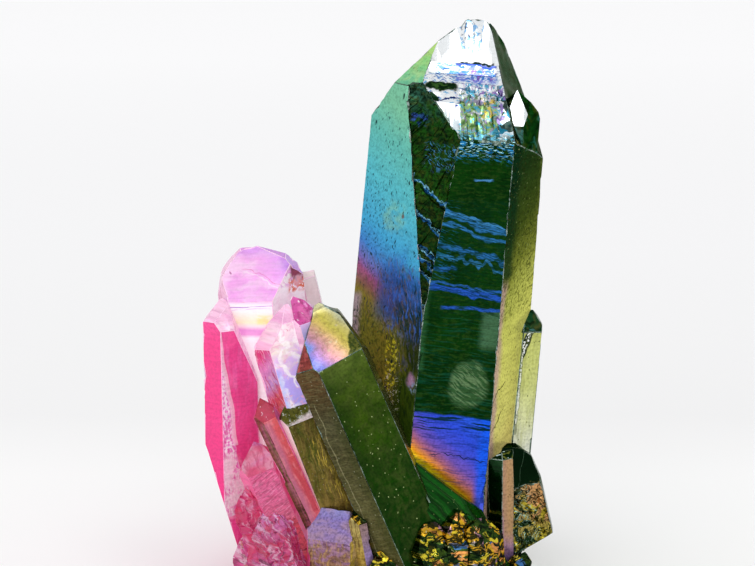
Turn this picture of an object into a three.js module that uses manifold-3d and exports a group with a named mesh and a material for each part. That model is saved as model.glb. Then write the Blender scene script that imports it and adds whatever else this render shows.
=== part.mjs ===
// Aura quartz cluster: one tall prism, a pink group at its left, a green prism
// leaning across its foot, and small points around a base cut flat.
// Millimetres. +Z is up, +X is to the right and -Y is the front.
// The crystals grew together, so they are joined in one solid.
import * as THREE from 'three';
import { ConvexGeometry } from 'three/addons/geometries/ConvexGeometry.js';
import { mergeVertices } from 'three/addons/utils/BufferGeometryUtils.js';
import Module from 'manifold-3d';

const wasm = await Module();
wasm.setup();

// Quartz habit: six prism faces 60 degrees apart, and tip faces that rise at
// this angle to the crystal's own axis.
const FACES = 6;
const TIP_ANGLE = 38.2;
const PRISM_TAPER = 0.5;

// Small points share one habit, as parts of their half width. The tip rises
// that much above the lowest shoulder.
const POINT_REACH = [1.0, 0.92, 1.05, 1.0, 0.9, 1.08];
const POINT_SHOULDER_STEP = [0, 0.5, 0.3, 0.1, 0.45, 0.25];
const TIP_RISE = 1.27;

// Every crystal is given by
//   foot      where its axis meets the base cut, [x, y]
//   lean      how far the axis leans to the right and to the front, in degrees
//   roll      turn of face 0 from the front towards the right, in degrees
//   reach     distance of prism faces 0 to 5 from the axis, at the base
//   shoulder  length along the axis at which each prism face meets its tip face
//   breaks    further flat faces, each through a point, turned from the front
//             towards the right and rising above the level, in degrees
const CRYSTALS = {
  main: {
    foot: [4.8, 3.9], lean: [4.6, 0.9], roll: 6, taper: 0.8,
    reach: [11.5, 10.9, 10.1, 11.6, 11.7, 9.7],
    shoulder: [60.1, 67.0, 69.0, 61.2, 60.8, 65.6],
    breaks: [
      { at: [16.14, -7.2, 59.22], turn: 73.5, rise: 21.3 },
      { at: [16.05, 5.0, 69.5], turn: 97, rise: 22 },
      { at: [3.1, -2.7, 64.1], turn: -37, rise: 7 },
    ],
  },
  main_step: {
    foot: [12.2, 0.6], lean: [4.6, 0.9], roll: 6, taper: 0.8,
    reach: [4.83, 2.75, 6.3, 2.5, 2.5, 4.91],
    shoulder: [61.2, 62.6, 58.7, 62.4, 63.7, 61.6],
  },
  side: {
    foot: [15.6, 3.2], lean: [5.0, 0], roll: 28,
    reach: [2.2, 2.5, 2.8, 1.8, 2.8, 2.5],
    shoulder: [33.3, 34.1, 36.3, 34.3, 35.3, 33.3],
  },
  dome: {
    foot: [-13.5, 1.0], lean: [-3.9, 1.3], roll: -12,
    reach: [5.4, 5.3, 5.5, 5.4, 5.2, 5.5],
    shoulder: [38.7, 44.7, 44.7, 38.8, 42.7, 44.7],
    breaks: [
      { at: [-20.2, 1.0, 42.8], turn: -84, rise: 38 },
      { at: [-21.7, 1.0, 39.3], turn: -82, rise: 8 },
      { at: [-12.1, 1.0, 43.1], turn: 86, rise: 44 },
      { at: [-17.9, 1.0, 44.7], turn: -65, rise: 75 },
      { at: [-14.6, 1.0, 44.4], turn: 74, rise: 73 },
    ],
  },
  outer: {
    foot: [-19.8, -4.0], lean: [-0.6, -0.6], roll: 28, taper: 0.3,
    reach: [3.3, 3.9, 3.2, 4.0, 3.2, 3.9],
    shoulder: [35.1, 35.1, 35.1, 35.1, 36.1, 37.2],
    breaks: [
      { at: [-18.7, -6.5, 33.8], turn: 82, rise: 20 },
      { at: [-21.9, -4.0, 14.6], turn: -82, rise: -16 },
      { at: [-21.6, -5.0, 37.3], turn: -32, rise: 59 },
    ],
  },
  centre: {
    foot: [-4.1, -7.5], lean: [-15.9, 0], roll: 5,
    reach: [2.2, 4.0, 2.6, 2.1, 4.0, 2.3],
    shoulder: [37.5, 38.5, 39.5, 37.1, 39.5, 34.8],
  },
  grey: {
    foot: [-2.2, 3.5], lean: [-12.5, 0], roll: 32, taper: 0.2,
    reach: [2.3, 2.1, 2.6, 1.7, 2.6, 2.1],
    shoulder: [41.1, 43.1, 43.1, 38.3, 44.1, 44.1],
    breaks: [{ at: [-10.3, 3.5, 41.2], turn: 76, rise: 85 }],
  },
  magenta: {
    foot: [0.2, -7.2], lean: [-15.3, 0], roll: 22, taper: 0.2,
    reach: [2.3, 1.6, 1.6, 2.3, 1.6, 2.9],
    shoulder: [38.0, 39.0, 39.0, 40.0, 41.0, 40.6],
  },
  green: {
    foot: [6.6, -10.0], lean: [-23.2, -0.7], roll: 30, taper: 0.3,
    reach: [5.2, 4.9, 5.9, 5.7, 4.4, 6.3],
    shoulder: [35.1, 38.1, 39.1, 35.3, 35.3, 35.7],
    breaks: [
      { at: [-7.3, -10.0, 38.9], turn: 108, rise: 66 },
      { at: [-5.0, -10.0, 36.9], turn: 95, rise: 36 },
    ],
  },
  green_step: {
    foot: [9.6, -9.2], lean: [-25.2, 0], roll: 6, taper: 0.3,
    reach: [4.5, 7.2, 6.2, 4.9, 5.0, 5.4],
    shoulder: [14.0, 19.5, 18.5, 16.2, 16.5, 16.0],
    breaks: [{ at: [8.1, -9.0, 15.3], turn: 105, rise: 52 }],
  },
  gold: {
    foot: [-1.3, -8.5], lean: [-20.5, 0], roll: 10, taper: 0.3,
    reach: [2.5, 3.2, 3.2, 2.8, 3.0, 3.4],
    shoulder: [26.0, 27.0, 27.0, 25.6, 26.3, 27.0],
  },
  red: {
    foot: [-3.9, -10.0], lean: [-24.2, 0], roll: 24, taper: 0.3,
    reach: [1.9, 1.5, 2.0, 2.0, 1.4, 2.1],
    shoulder: [26.9, 27.9, 27.9, 27.9, 27.9, 27.9],
  },
  rose: {
    foot: [-8.4, -9.0], lean: [-22.7, 0], roll: 5, taper: 0.3,
    reach: [2.5, 2.7, 2.6, 2.8, 2.4, 2.9],
    shoulder: [19.2, 20.2, 20.2, 20.7, 19.5, 20.2],
  },
  crimson: {
    foot: [-13.9, -9.5], lean: [-14.6, 0], roll: 20, taper: 0.3,
    reach: [2.3, 1.8, 2.6, 2.0, 2.1, 2.3],
    shoulder: [14.8, 15.8, 15.8, 12.8, 13.3, 15.8],
  },
  blush: {
    foot: [-11.1, -11.5], lean: [-18.0, 0], roll: 5, taper: 0.3,
    reach: [2.5, 2.7, 2.6, 2.7, 2.5, 2.7],
    shoulder: [10.0, 11.0, 11.0, 10.3, 10.8, 11.0],
  },
  lavender: {
    foot: [-5.9, -12.0], lean: [-0.6, 0.9], roll: -26, taper: 0.2,
    reach: [2.8, 4.0, 3.5, 3.3, 3.6, 4.0],
    shoulder: [9.7, 10.1, 11.7, 9.1, 12.0, 10.7],
  },
  sliver: {
    foot: [-1.3, -14.0], lean: [-10.0, 0], roll: 30, taper: 0.3,
    reach: [1.7, 1.2, 1.6, 1.7, 1.2, 1.6],
    shoulder: [12.3, 13.3, 13.3, 12.5, 12.9, 13.3],
  },
  corner: {
    foot: [21.6, -4.0], lean: [-15.1, 0], roll: 10, taper: 0.3,
    reach: [2.0, 2.8, 3.0, 3.6, 4.0, 4.0],
    shoulder: [14.5, 27.0, 27.0, 22.0, 26.0, 25.0],
    breaks: [
      { at: [20.2, -4.0, 6.6], turn: 76, rise: -56 },
      { at: [17.5, -4.0, 18.4], turn: 0, rise: 86 },
      { at: [18.3, -4.0, 18.2], turn: 96, rise: 58 },
      { at: [19.8, -4.0, 16.0], turn: 88, rise: 25 },
      { at: [21.2, -4.0, 10.9], turn: 86, rise: 13 },
    ],
  },
  stripe: {
    foot: [15.1, -6.0], lean: [-0.3, 0], roll: 35, taper: 0.2,
    reach: [1.4, 1.6, 1.8, 1.1, 1.9, 1.5],
    shoulder: [18.3, 19.1, 19.3, 17.2, 19.3, 18.3],
  },
};

// Small points of one common habit: foot, lean, roll, half width and height.
const POINTS = [
  // behind the pink group and the main prism
  { foot: [-6, 8.5], lean: [-10, -13], roll: 10, half: 4.4, tall: 27 },
  { foot: [-13, 7.0], lean: [-6, -12], roll: 40, half: 3.6, tall: 20 },
  { foot: [8.5, 13], lean: [3, -13], roll: 15, half: 3.8, tall: 22 },
  { foot: [0, 13.5], lean: [-5, -17], roll: 50, half: 3.0, tall: 13 },
  { foot: [-9.0, 11], lean: [-14, -24], roll: 25, half: 2.4, tall: 9 },
  { foot: [4.5, 15.5], lean: [2, -30], roll: 0, half: 2.2, tall: 7 },
  { foot: [13.0, 11], lean: [12, -20], roll: 30, half: 2.4, tall: 8 },
  { foot: [-15.6, 3.0], lean: [-14, -6], roll: 12, half: 2.4, tall: 11 },
  // along the front of the base
  { foot: [1.4, -14.4], lean: [-12, 6], roll: 20, half: 2.7, tall: 9.0 },
  { foot: [4.4, -14.6], lean: [6, 8], roll: 45, half: 2.8, tall: 7.6 },
  { foot: [7.2, -13.9], lean: [-8, 2], roll: 10, half: 2.9, tall: 12.2 },
  { foot: [10.6, -13.4], lean: [6, 2], roll: 35, half: 2.9, tall: 12.6 },
  { foot: [13.0, -12.0], lean: [-4, 2], roll: 5, half: 2.5, tall: 12.0 },
  { foot: [5.2, -13.8], lean: [4, 2], roll: 28, half: 2.7, tall: 10.8 },
  { foot: [8.9, -13.6], lean: [2, 0], roll: 52, half: 2.9, tall: 13.4 },
  { foot: [2.8, -12.6], lean: [-6, 2], roll: 8, half: 2.3, tall: 11.6 },
  { foot: [16.4, -7.4], lean: [12, 6], roll: 18, half: 1.7, tall: 6.4 },
  { foot: [-8.6, -13.8], lean: [-12, 8], roll: 33, half: 2.0, tall: 6.2 },
  { foot: [-15.8, -7.4], lean: [-16, 2], roll: 22, half: 2.4, tall: 8.4 },
];

// Rough rock between the feet of the crystals: centre and half sizes.
const LUMPS = [
  { centre: [-7, -1, 1.5], half: [11, 11, 6.5] },
  { centre: [6, 2, 1.0], half: [11.5, 13, 5.0] },
  { centre: [1, -7.5, 0.5], half: [15.5, 8.0, 4.5] },
];
const LUMP_DETAIL = 2;
const LUMP_ROUGHNESS = 0.12;

const MERGE_DISTANCE = 1e-4;
const ON_FACE = 1e-6;

function radians(degrees) {
  return THREE.MathUtils.degToRad(degrees);
}

/** The crystal's axis and the outward directions of its six prism faces. */
function crystalDirections({ lean, roll }) {
  const [right, front] = lean.map((angle) => Math.tan(radians(angle)));
  const axis = new THREE.Vector3(right, -front, 1).normalize();
  const facing = new THREE.Vector3(0, -1, 0);
  facing.addScaledVector(axis, -facing.dot(axis)).normalize();
  const outward = [];
  for (let face = 0; face < FACES; face += 1) {
    const turn = radians(roll + (face * 360) / FACES);
    outward.push(facing.clone().applyAxisAngle(axis, turn));
  }
  return { axis, outward };
}

function planeThrough(normal, point) {
  return new THREE.Plane().setFromNormalAndCoplanarPoint(normal.clone().normalize(), point);
}

/** All flat faces of one crystal, with the base cut as the last one. */
function crystalPlanes(crystal) {
  const { foot, reach, shoulder, taper = PRISM_TAPER, breaks = [] } = crystal;
  const { axis, outward } = crystalDirections(crystal);
  const base = new THREE.Vector3(foot[0], foot[1], 0);
  const planes = [];
  outward.forEach((direction, face) => {
    const side = base.clone().addScaledVector(direction, reach[face]);
    const sideNormal = direction.clone().applyAxisAngle(
      new THREE.Vector3().crossVectors(direction, axis).normalize(),
      radians(taper),
    );
    planes.push(planeThrough(sideNormal, side));
    const inset = shoulder[face] * Math.tan(radians(taper));
    const edge = side.clone()
      .addScaledVector(direction, -inset)
      .addScaledVector(axis, shoulder[face]);
    const tipNormal = direction.clone().multiplyScalar(Math.cos(radians(TIP_ANGLE)))
      .addScaledVector(axis, Math.sin(radians(TIP_ANGLE)));
    planes.push(planeThrough(tipNormal, edge));
  });
  for (const { at, turn, rise } of breaks) {
    const level = Math.cos(radians(rise));
    const normal = new THREE.Vector3(
      level * Math.sin(radians(turn)),
      -level * Math.cos(radians(turn)),
      Math.sin(radians(rise)),
    );
    planes.push(planeThrough(normal, new THREE.Vector3(...at)));
  }
  planes.push(planeThrough(new THREE.Vector3(0, 0, -1), new THREE.Vector3()));
  return planes;
}

/** Where three planes meet, or null where they do not meet in one point. */
function meetingPoint(first, second, third) {
  const across = new THREE.Vector3().crossVectors(second.normal, third.normal);
  const volume = first.normal.dot(across);
  if (Math.abs(volume) < ON_FACE) return null;
  const point = across.multiplyScalar(-first.constant);
  point.addScaledVector(
    new THREE.Vector3().crossVectors(third.normal, first.normal), -second.constant);
  point.addScaledVector(
    new THREE.Vector3().crossVectors(first.normal, second.normal), -third.constant);
  return point.divideScalar(volume);
}

/** Corners of the body that lies behind all the planes. */
function cornersBehind(planes) {
  const corners = [];
  for (let i = 0; i < planes.length; i += 1) {
    for (let j = i + 1; j < planes.length; j += 1) {
      for (let k = j + 1; k < planes.length; k += 1) {
        const point = meetingPoint(planes[i], planes[j], planes[k]);
        if (!point) continue;
        const outside = planes.some((plane) => plane.distanceToPoint(point) > ON_FACE);
        const known = corners.some((corner) => corner.distanceTo(point) < MERGE_DISTANCE);
        if (!outside && !known) corners.push(point);
      }
    }
  }
  return corners;
}

/** A closed geometry as a solid that can be joined to others. */
function toSolid(geometry) {
  geometry.deleteAttribute('normal');
  geometry.deleteAttribute('uv');
  const welded = mergeVertices(geometry, MERGE_DISTANCE);
  const mesh = new wasm.Mesh({
    numProp: 3,
    vertProperties: new Float32Array(welded.attributes.position.array),
    triVerts: new Uint32Array(welded.index.array),
  });
  return new wasm.Manifold(mesh);
}

/** A joined solid as a flat-shaded geometry. */
function toGeometry(solid) {
  const { vertProperties, triVerts } = solid.getMesh();
  const geometry = new THREE.BufferGeometry();
  geometry.setAttribute('position', new THREE.BufferAttribute(new Float32Array(vertProperties), 3));
  geometry.setIndex(new THREE.BufferAttribute(new Uint32Array(triVerts), 1));
  const flat = geometry.toNonIndexed();
  flat.computeVertexNormals();
  return flat;
}

function crystalSolid(crystal) {
  return toSolid(new ConvexGeometry(cornersBehind(crystalPlanes(crystal))));
}

/** The full description of a small point. */
function pointCrystal({ foot, lean, roll, half, tall }) {
  return {
    foot,
    lean,
    roll,
    reach: POINT_REACH.map((part) => part * half),
    shoulder: POINT_SHOULDER_STEP.map((step) => tall - half * (TIP_RISE - step)),
  };
}

/** A low rough mound that ends on the base cut. */
function lumpSolid({ centre, half }) {
  const ball = new THREE.IcosahedronGeometry(1, LUMP_DETAIL);
  const position = ball.attributes.position;
  const point = new THREE.Vector3();
  const points = [];
  for (let i = 0; i < position.count; i += 1) {
    point.fromBufferAttribute(position, i);
    const bump = Math.sin(5.1 * point.x + 1.3) * Math.sin(4.3 * point.y - 0.7)
      * Math.sin(4.7 * point.z + 2.1);
    const radius = 1 - LUMP_ROUGHNESS * (1 + bump);
    points.push(new THREE.Vector3(
      centre[0] + half[0] * radius * point.x,
      centre[1] + half[1] * radius * point.y,
      Math.max(0, centre[2] + half[2] * radius * point.z),
    ));
  }
  return toSolid(new ConvexGeometry(points));
}

const crystals = [...Object.values(CRYSTALS), ...POINTS.map(pointCrystal)];
const solids = [...crystals.map(crystalSolid), ...LUMPS.map(lumpSolid)];
const clusterSolid = solids.reduce((whole, next) => whole.add(next));

const quartz = new THREE.MeshStandardMaterial({
  name: 'aura_coated_quartz',
  color: 0x4c7a5e,
  roughness: 0.15,
  metalness: 0.6,
});
const cluster = new THREE.Mesh(toGeometry(clusterSolid), quartz);
cluster.name = 'quartz_cluster';

const part = new THREE.Group();
part.name = 'aura_quartz_cluster';
part.add(cluster);

export default part;
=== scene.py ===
"""An aura quartz cluster: crystals that grew together, under a thin film of interference colours.

A crystal is shaped in millimetres by cutting a block along its faces, and the joined cluster is then
scaled to metres. +Z is up, +X is to the right and -Y is the front. Colours are written as 0xRRGGBB.
"""

import logging
import math
import random
from bisect import bisect_right
from dataclasses import dataclass, field, replace
from enum import Enum

import bmesh
import bpy
from mathutils import Matrix, Vector, noise


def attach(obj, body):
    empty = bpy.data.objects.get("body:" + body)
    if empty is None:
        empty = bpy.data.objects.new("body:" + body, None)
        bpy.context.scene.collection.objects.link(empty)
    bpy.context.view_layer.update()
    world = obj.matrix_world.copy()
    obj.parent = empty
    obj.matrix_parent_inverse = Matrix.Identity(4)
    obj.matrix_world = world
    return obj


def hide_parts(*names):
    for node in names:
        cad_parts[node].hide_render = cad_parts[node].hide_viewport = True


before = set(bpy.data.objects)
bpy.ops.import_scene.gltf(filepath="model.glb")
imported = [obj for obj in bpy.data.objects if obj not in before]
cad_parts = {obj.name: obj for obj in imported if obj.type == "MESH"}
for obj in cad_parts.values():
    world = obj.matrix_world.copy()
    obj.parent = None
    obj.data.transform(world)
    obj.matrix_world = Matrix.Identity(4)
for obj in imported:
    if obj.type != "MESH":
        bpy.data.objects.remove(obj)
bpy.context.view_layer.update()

LOG = logging.getLogger("aura_quartz_cluster")
MM = 0.001
FACES = 6
TIP_ANGLE = math.radians(38.2)
ROOT_DEPTH = 4.0
BLOCK_SPARE = 80
QUARTZ_IOR = 1.544
GRAZING_TINT = (0.36, 0.40, 0.32, 1.0)
CUT_PRECISION = 1e-4
SLICE_PRECISION = 0.004
SAME_TURN = 0.99999
SAME_HEIGHT = 0.001
SLICE_SEED = 11

# How the corners near an edge are moved: how many worn widths count as near, the least sine of the
# angle between two faces, the share of a ledge that stays at an edge, and how much a move resists.
NEAR_EDGE = 1.4
LEAST_SINE = 0.15
EDGE_SHARE = 0.12
RESISTANCE = 0.02

# What every face shares: sizes in mm, roughnesses, and numbers that keep its noises apart.
GRAIN = 0.32
LINE_STRETCH = 0.12
FILM_VEIL = 0.3
GLASS_ROUGHNESS = 0.02
COAT_ROUGHNESS = 0.04
WANDER_SEED, FACE_SEED, MARK_SEED, LINE_SEED, GAP_SEED = 3.7, 1.9, 5.3, 2.3, 3.1
PATCH_SEED, TILT_SEED, DEPTH_SEED = 7.1, 17.3, 9.1
LEDGE_PATCH = (3.5, 2.2)
ROUGH_DETAIL = (0.6, 2.0, 3)
CHIP_DETAIL = (0.7, 2.0, 3)
CHIP_SIZE = 1.3
CHIP_RANGE = (0.12, 0.75)
DEEPEST_CHIP = 0.25
WAVE_SIZE = 5.5
CALM_END = 5.0

Pair = tuple[float, float]
Triple = tuple[float, float, float]
Box = tuple[float, float, float, float]


def linear(colour: int) -> Box:
    """Turn a colour as a screen shows it into a linear one.

    Args:
        colour: Red, green and blue as 0xRRGGBB.

    Returns:
        The linear colour with an alpha of 1.
    """
    parts = [(colour >> shift & 0xFF) / 0xFF for shift in (16, 8, 0)]
    return (*(p / 12.92 if p <= 0.04045 else ((p + 0.055) / 1.055) ** 2.4 for p in parts), 1.0)


def smooth_step(low: float, high: float, value: float) -> float:
    """Return 0 below low, 1 above high and a soft rise between them."""
    part = min(1.0, max(0.0, (value - low) / (high - low)))
    return part * part * (3 - 2 * part)


class Wire:
    """A socket of a material's nodes that can be used in arithmetic."""

    def __init__(self, recipe: "Recipe", socket: bpy.types.NodeSocket) -> None:
        """Keep the socket and the recipe that it belongs to."""
        self.recipe = recipe
        self.socket = socket

    def _maths(self, operation: str, first: "Wire | float", second: "Wire | float") -> "Wire":
        """Add one Math node on two values."""
        return self.recipe.node("ShaderNodeMath", {"operation": operation}, {0: first, 1: second})

    def __add__(self, other: "Wire | float") -> "Wire":
        """Add a value."""
        return self._maths("ADD", self, other)

    __radd__ = __add__

    def __sub__(self, other: "Wire | float") -> "Wire":
        """Take a value away."""
        return self._maths("SUBTRACT", self, other)

    def __rsub__(self, other: float) -> "Wire":
        """Take this value away from a number."""
        return self._maths("SUBTRACT", other, self)

    def __mul__(self, other: "Wire | float") -> "Wire":
        """Multiply by a value."""
        return self._maths("MULTIPLY", self, other)

    __rmul__ = __mul__

    def step(self, low: float, high: float) -> "Wire":
        """Rise softly from 0 at low to 1 at high."""
        return self.recipe.node(
            "ShaderNodeMapRange",
            {"interpolation_type": "SMOOTHSTEP"},
            {"Value": self, "From Min": low, "From Max": high},
        )


class Recipe:
    """The nodes of one material, or of the surroundings."""

    def __init__(self, owner: bpy.types.Material | bpy.types.World) -> None:
        """Start with no nodes.

        Args:
            owner: The material or world that they belong to.
        """
        self.owner = owner
        owner.use_nodes = True
        self.tree = owner.node_tree
        self.tree.nodes.clear()

    def node(
        self,
        kind: str,
        settings: dict | None = None,
        inputs: dict | None = None,
        output: int | str = 0,
    ) -> Wire:
        """Add a node of any type.

        Args:
            kind: The node's type.
            settings: Its properties, with a ramp's stops under "stops". They are set first.
            inputs: Values or wires for its sockets, by name or number.
            output: The socket to return.

        Returns:
            The wire of that output.
        """
        made = self.tree.nodes.new(kind)
        for key, value in (settings or {}).items():
            if key == "stops":
                self._fill_ramp(made.color_ramp, value)
            else:
                setattr(made, key, value)
        for key, value in (inputs or {}).items():
            if isinstance(value, Wire):
                self.tree.links.new(value.socket, made.inputs[key])
            else:
                made.inputs[key].default_value = value
        return Wire(self, made.outputs[output])

    @staticmethod
    def _fill_ramp(ramp: bpy.types.ColorRamp, stops: list[tuple[float, tuple]]) -> None:
        """Give a colour ramp its stops.

        Args:
            ramp: The ramp.
            stops: Places from 0 to 1, each with a colour.
        """
        while len(ramp.elements) > 1:
            ramp.elements.remove(ramp.elements[-1])
        for number, (place, colour) in enumerate(stops):
            element = ramp.elements[0] if number == 0 else ramp.elements.new(place)
            element.position = place
            element.color = colour

    def finish(self, surface: Wire) -> None:
        """Link the finished surface to the output.

        Args:
            surface: The wire of the shader.
        """
        kind = "World" if isinstance(self.owner, bpy.types.World) else "Material"
        out = self.tree.nodes.new(f"ShaderNodeOutput{kind}")
        self.tree.links.new(surface.socket, out.inputs["Surface"])

    def place(self, right: Wire, up: Wire, seed: float = 0.0) -> Wire:
        """Join a place across and along a face in one vector, at a depth that sets it apart."""
        return self.node("ShaderNodeCombineXYZ", None, {0: right, 1: up, 2: seed})

    def noise(self, place: Wire, detail: float, scale: float = 1.0, output: int | str = 0) -> Wire:
        """Add a noise texture at a place."""
        sockets = {"Vector": place, "Scale": scale, "Detail": detail}
        return self.node("ShaderNodeTexNoise", None, sockets, output)

    def mix(self, factor: Wire | float, under: Wire | tuple, over: Wire | tuple) -> Wire:
        """Lay one colour over another.

        Args:
            factor: How much of the upper colour shows.
            under: The lower colour.
            over: The upper colour.

        Returns:
            The mixed colour.
        """
        return self.node("ShaderNodeMix", {"data_type": "RGBA"}, {0: factor, 6: under, 7: over}, 2)


@dataclass(frozen=True)
class Facet:
    """One flat face of a crystal.

    Attributes:
        key: side, tip or break with its number.
        origin: A point on it, in millimetres.
        normal: Its outward direction.
        along: The direction in it that follows the crystal's axis.
    """

    key: str
    origin: Vector
    normal: Vector
    along: Vector

    @property
    def across(self) -> Vector:
        """The direction in the face that runs to the right, seen from outside."""
        return self.along.cross(self.normal)

    def height(self, point: Vector) -> float:
        """Return how far a point stands outside the face."""
        return (point - self.origin).dot(self.normal)


class Pattern(Enum):
    """How a mark is spread over a face."""

    PLAIN = "one even area"
    CLOUD = "soft patches"
    STREAK = "long thin bands"
    SPECK = "separate dots"
    MOSAIC = "sharp shards"
    BAND = "one wavy line across the face"


@dataclass(frozen=True)
class Mark:
    """A second colour that lies on a face's main colours.

    Attributes:
        colour: Its colour.
        pattern: How it is spread.
        size: The pattern's size across and along the face, in mm. A band's second size is its half width.
        level: Where the pattern starts to show, from 0 to 1, or the height of a band's middle, in mm.
        soft: How softly it starts.
        share: How much of it shows at most.
        slant: Turn of the pattern, in degrees. Positive ones run down to the right.
        zone: Lowest and highest place across and along the face, in mm.
        oval: Whether the zone is an oval that fills the box.
        cuts: Further straight borders, each a direction in degrees and how far along it the mark starts.
        fade: How softly the zone ends, in mm.
    """

    colour: int
    pattern: Pattern = Pattern.PLAIN
    size: Pair = (1.0, 1.0)
    level: float = 0.5
    soft: float = 0.08
    share: float = 1.0
    slant: float = 0.0
    zone: Box | None = None
    oval: bool = False
    cuts: tuple[Pair, ...] = ()
    fade: float = 0.6

    def mask(self, recipe: Recipe, across: Wire, along: Wire, seed: float) -> Wire | float:
        """Build the share of this mark at each place of a face.

        Args:
            recipe: The material that gets the nodes.
            across: The place across the face, in mm.
            along: The place along the face, in mm.
            seed: A number that sets this mark's pattern apart from others.

        Returns:
            The share from 0 to 1.
        """
        result = self._spread(recipe, across, along, seed)
        half = self.fade / 2
        if self.zone and self.oval:
            left, right, low, high = self.zone
            far = recipe.place(
                (across - (left + right) / 2) * (2 / (right - left)),
                (along - (low + high) / 2) * (2 / (high - low)),
            )
            length = recipe.node("ShaderNodeVectorMath", {"operation": "LENGTH"}, {0: far}, "Value")
            result = result * (1 - length.step(1 - self.fade, 1))
        elif self.zone:
            left, right, low, high = self.zone
            for place, start, end in ((across, left, right), (along, low, high)):
                result = result * place.step(start - half, start + half)
                result = result * (1 - place.step(end - half, end + half))
        for direction, start in self.cuts:
            turn = math.radians(direction)
            place = across * math.cos(turn) + along * math.sin(turn)
            result = result * place.step(start - half, start + half)
        return result

    def _spread(self, recipe: Recipe, across: Wire, along: Wire, seed: float) -> Wire | float:
        """Build the pattern without its zone.

        Args:
            recipe: The material that gets the nodes.
            across: The place across the face, in mm.
            along: The place along the face, in mm.
            seed: A number that sets this mark's pattern apart from others.

        Returns:
            The share from 0 to 1.
        """
        if self.pattern is Pattern.PLAIN:
            return self.share
        turn = math.radians(self.slant)
        if self.pattern is Pattern.BAND:
            up = along + across * math.tan(turn)
            wobble = recipe.noise(recipe.place(across * (1 / self.size[0]), along * 0.3, seed), 2.0)
            offset = up - self.level + (wobble - 0.5) * (2.5 * self.soft)
            far = recipe.node("ShaderNodeMath", {"operation": "ABSOLUTE"}, {0: offset})
            gaps = recipe.noise(recipe.place(across * 0.5, along * 4.0, seed + GAP_SEED), 3.0)
            line = 1 - far.step(0.55 * self.size[1], self.size[1])
            return self.share * line * gaps.step(0.28, 0.5)
        right, up = across, along
        if self.slant:
            right = across * math.cos(turn) - along * math.sin(turn)
            up = along * math.cos(turn) + across * math.sin(turn)
        place = recipe.place(right * (1 / self.size[0]), up * (1 / self.size[1]), seed)
        if self.pattern in (Pattern.SPECK, Pattern.MOSAIC):
            specks = self.pattern is Pattern.SPECK
            cells = recipe.node(
                "ShaderNodeTexVoronoi",
                {"feature": "F1"},
                {"Vector": place, "Scale": 1.0},
                output="Distance" if specks else "Color",
            )
            if not specks:
                cells = recipe.node("ShaderNodeSeparateColor", None, {0: cells})
            return self.share * (1 - cells.step(self.level - self.soft, self.level))
        cloud = recipe.noise(place, 2.0 if self.pattern is Pattern.STREAK else 4.0)
        return self.share * cloud.step(self.level - self.soft, self.level + self.soft)


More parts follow.
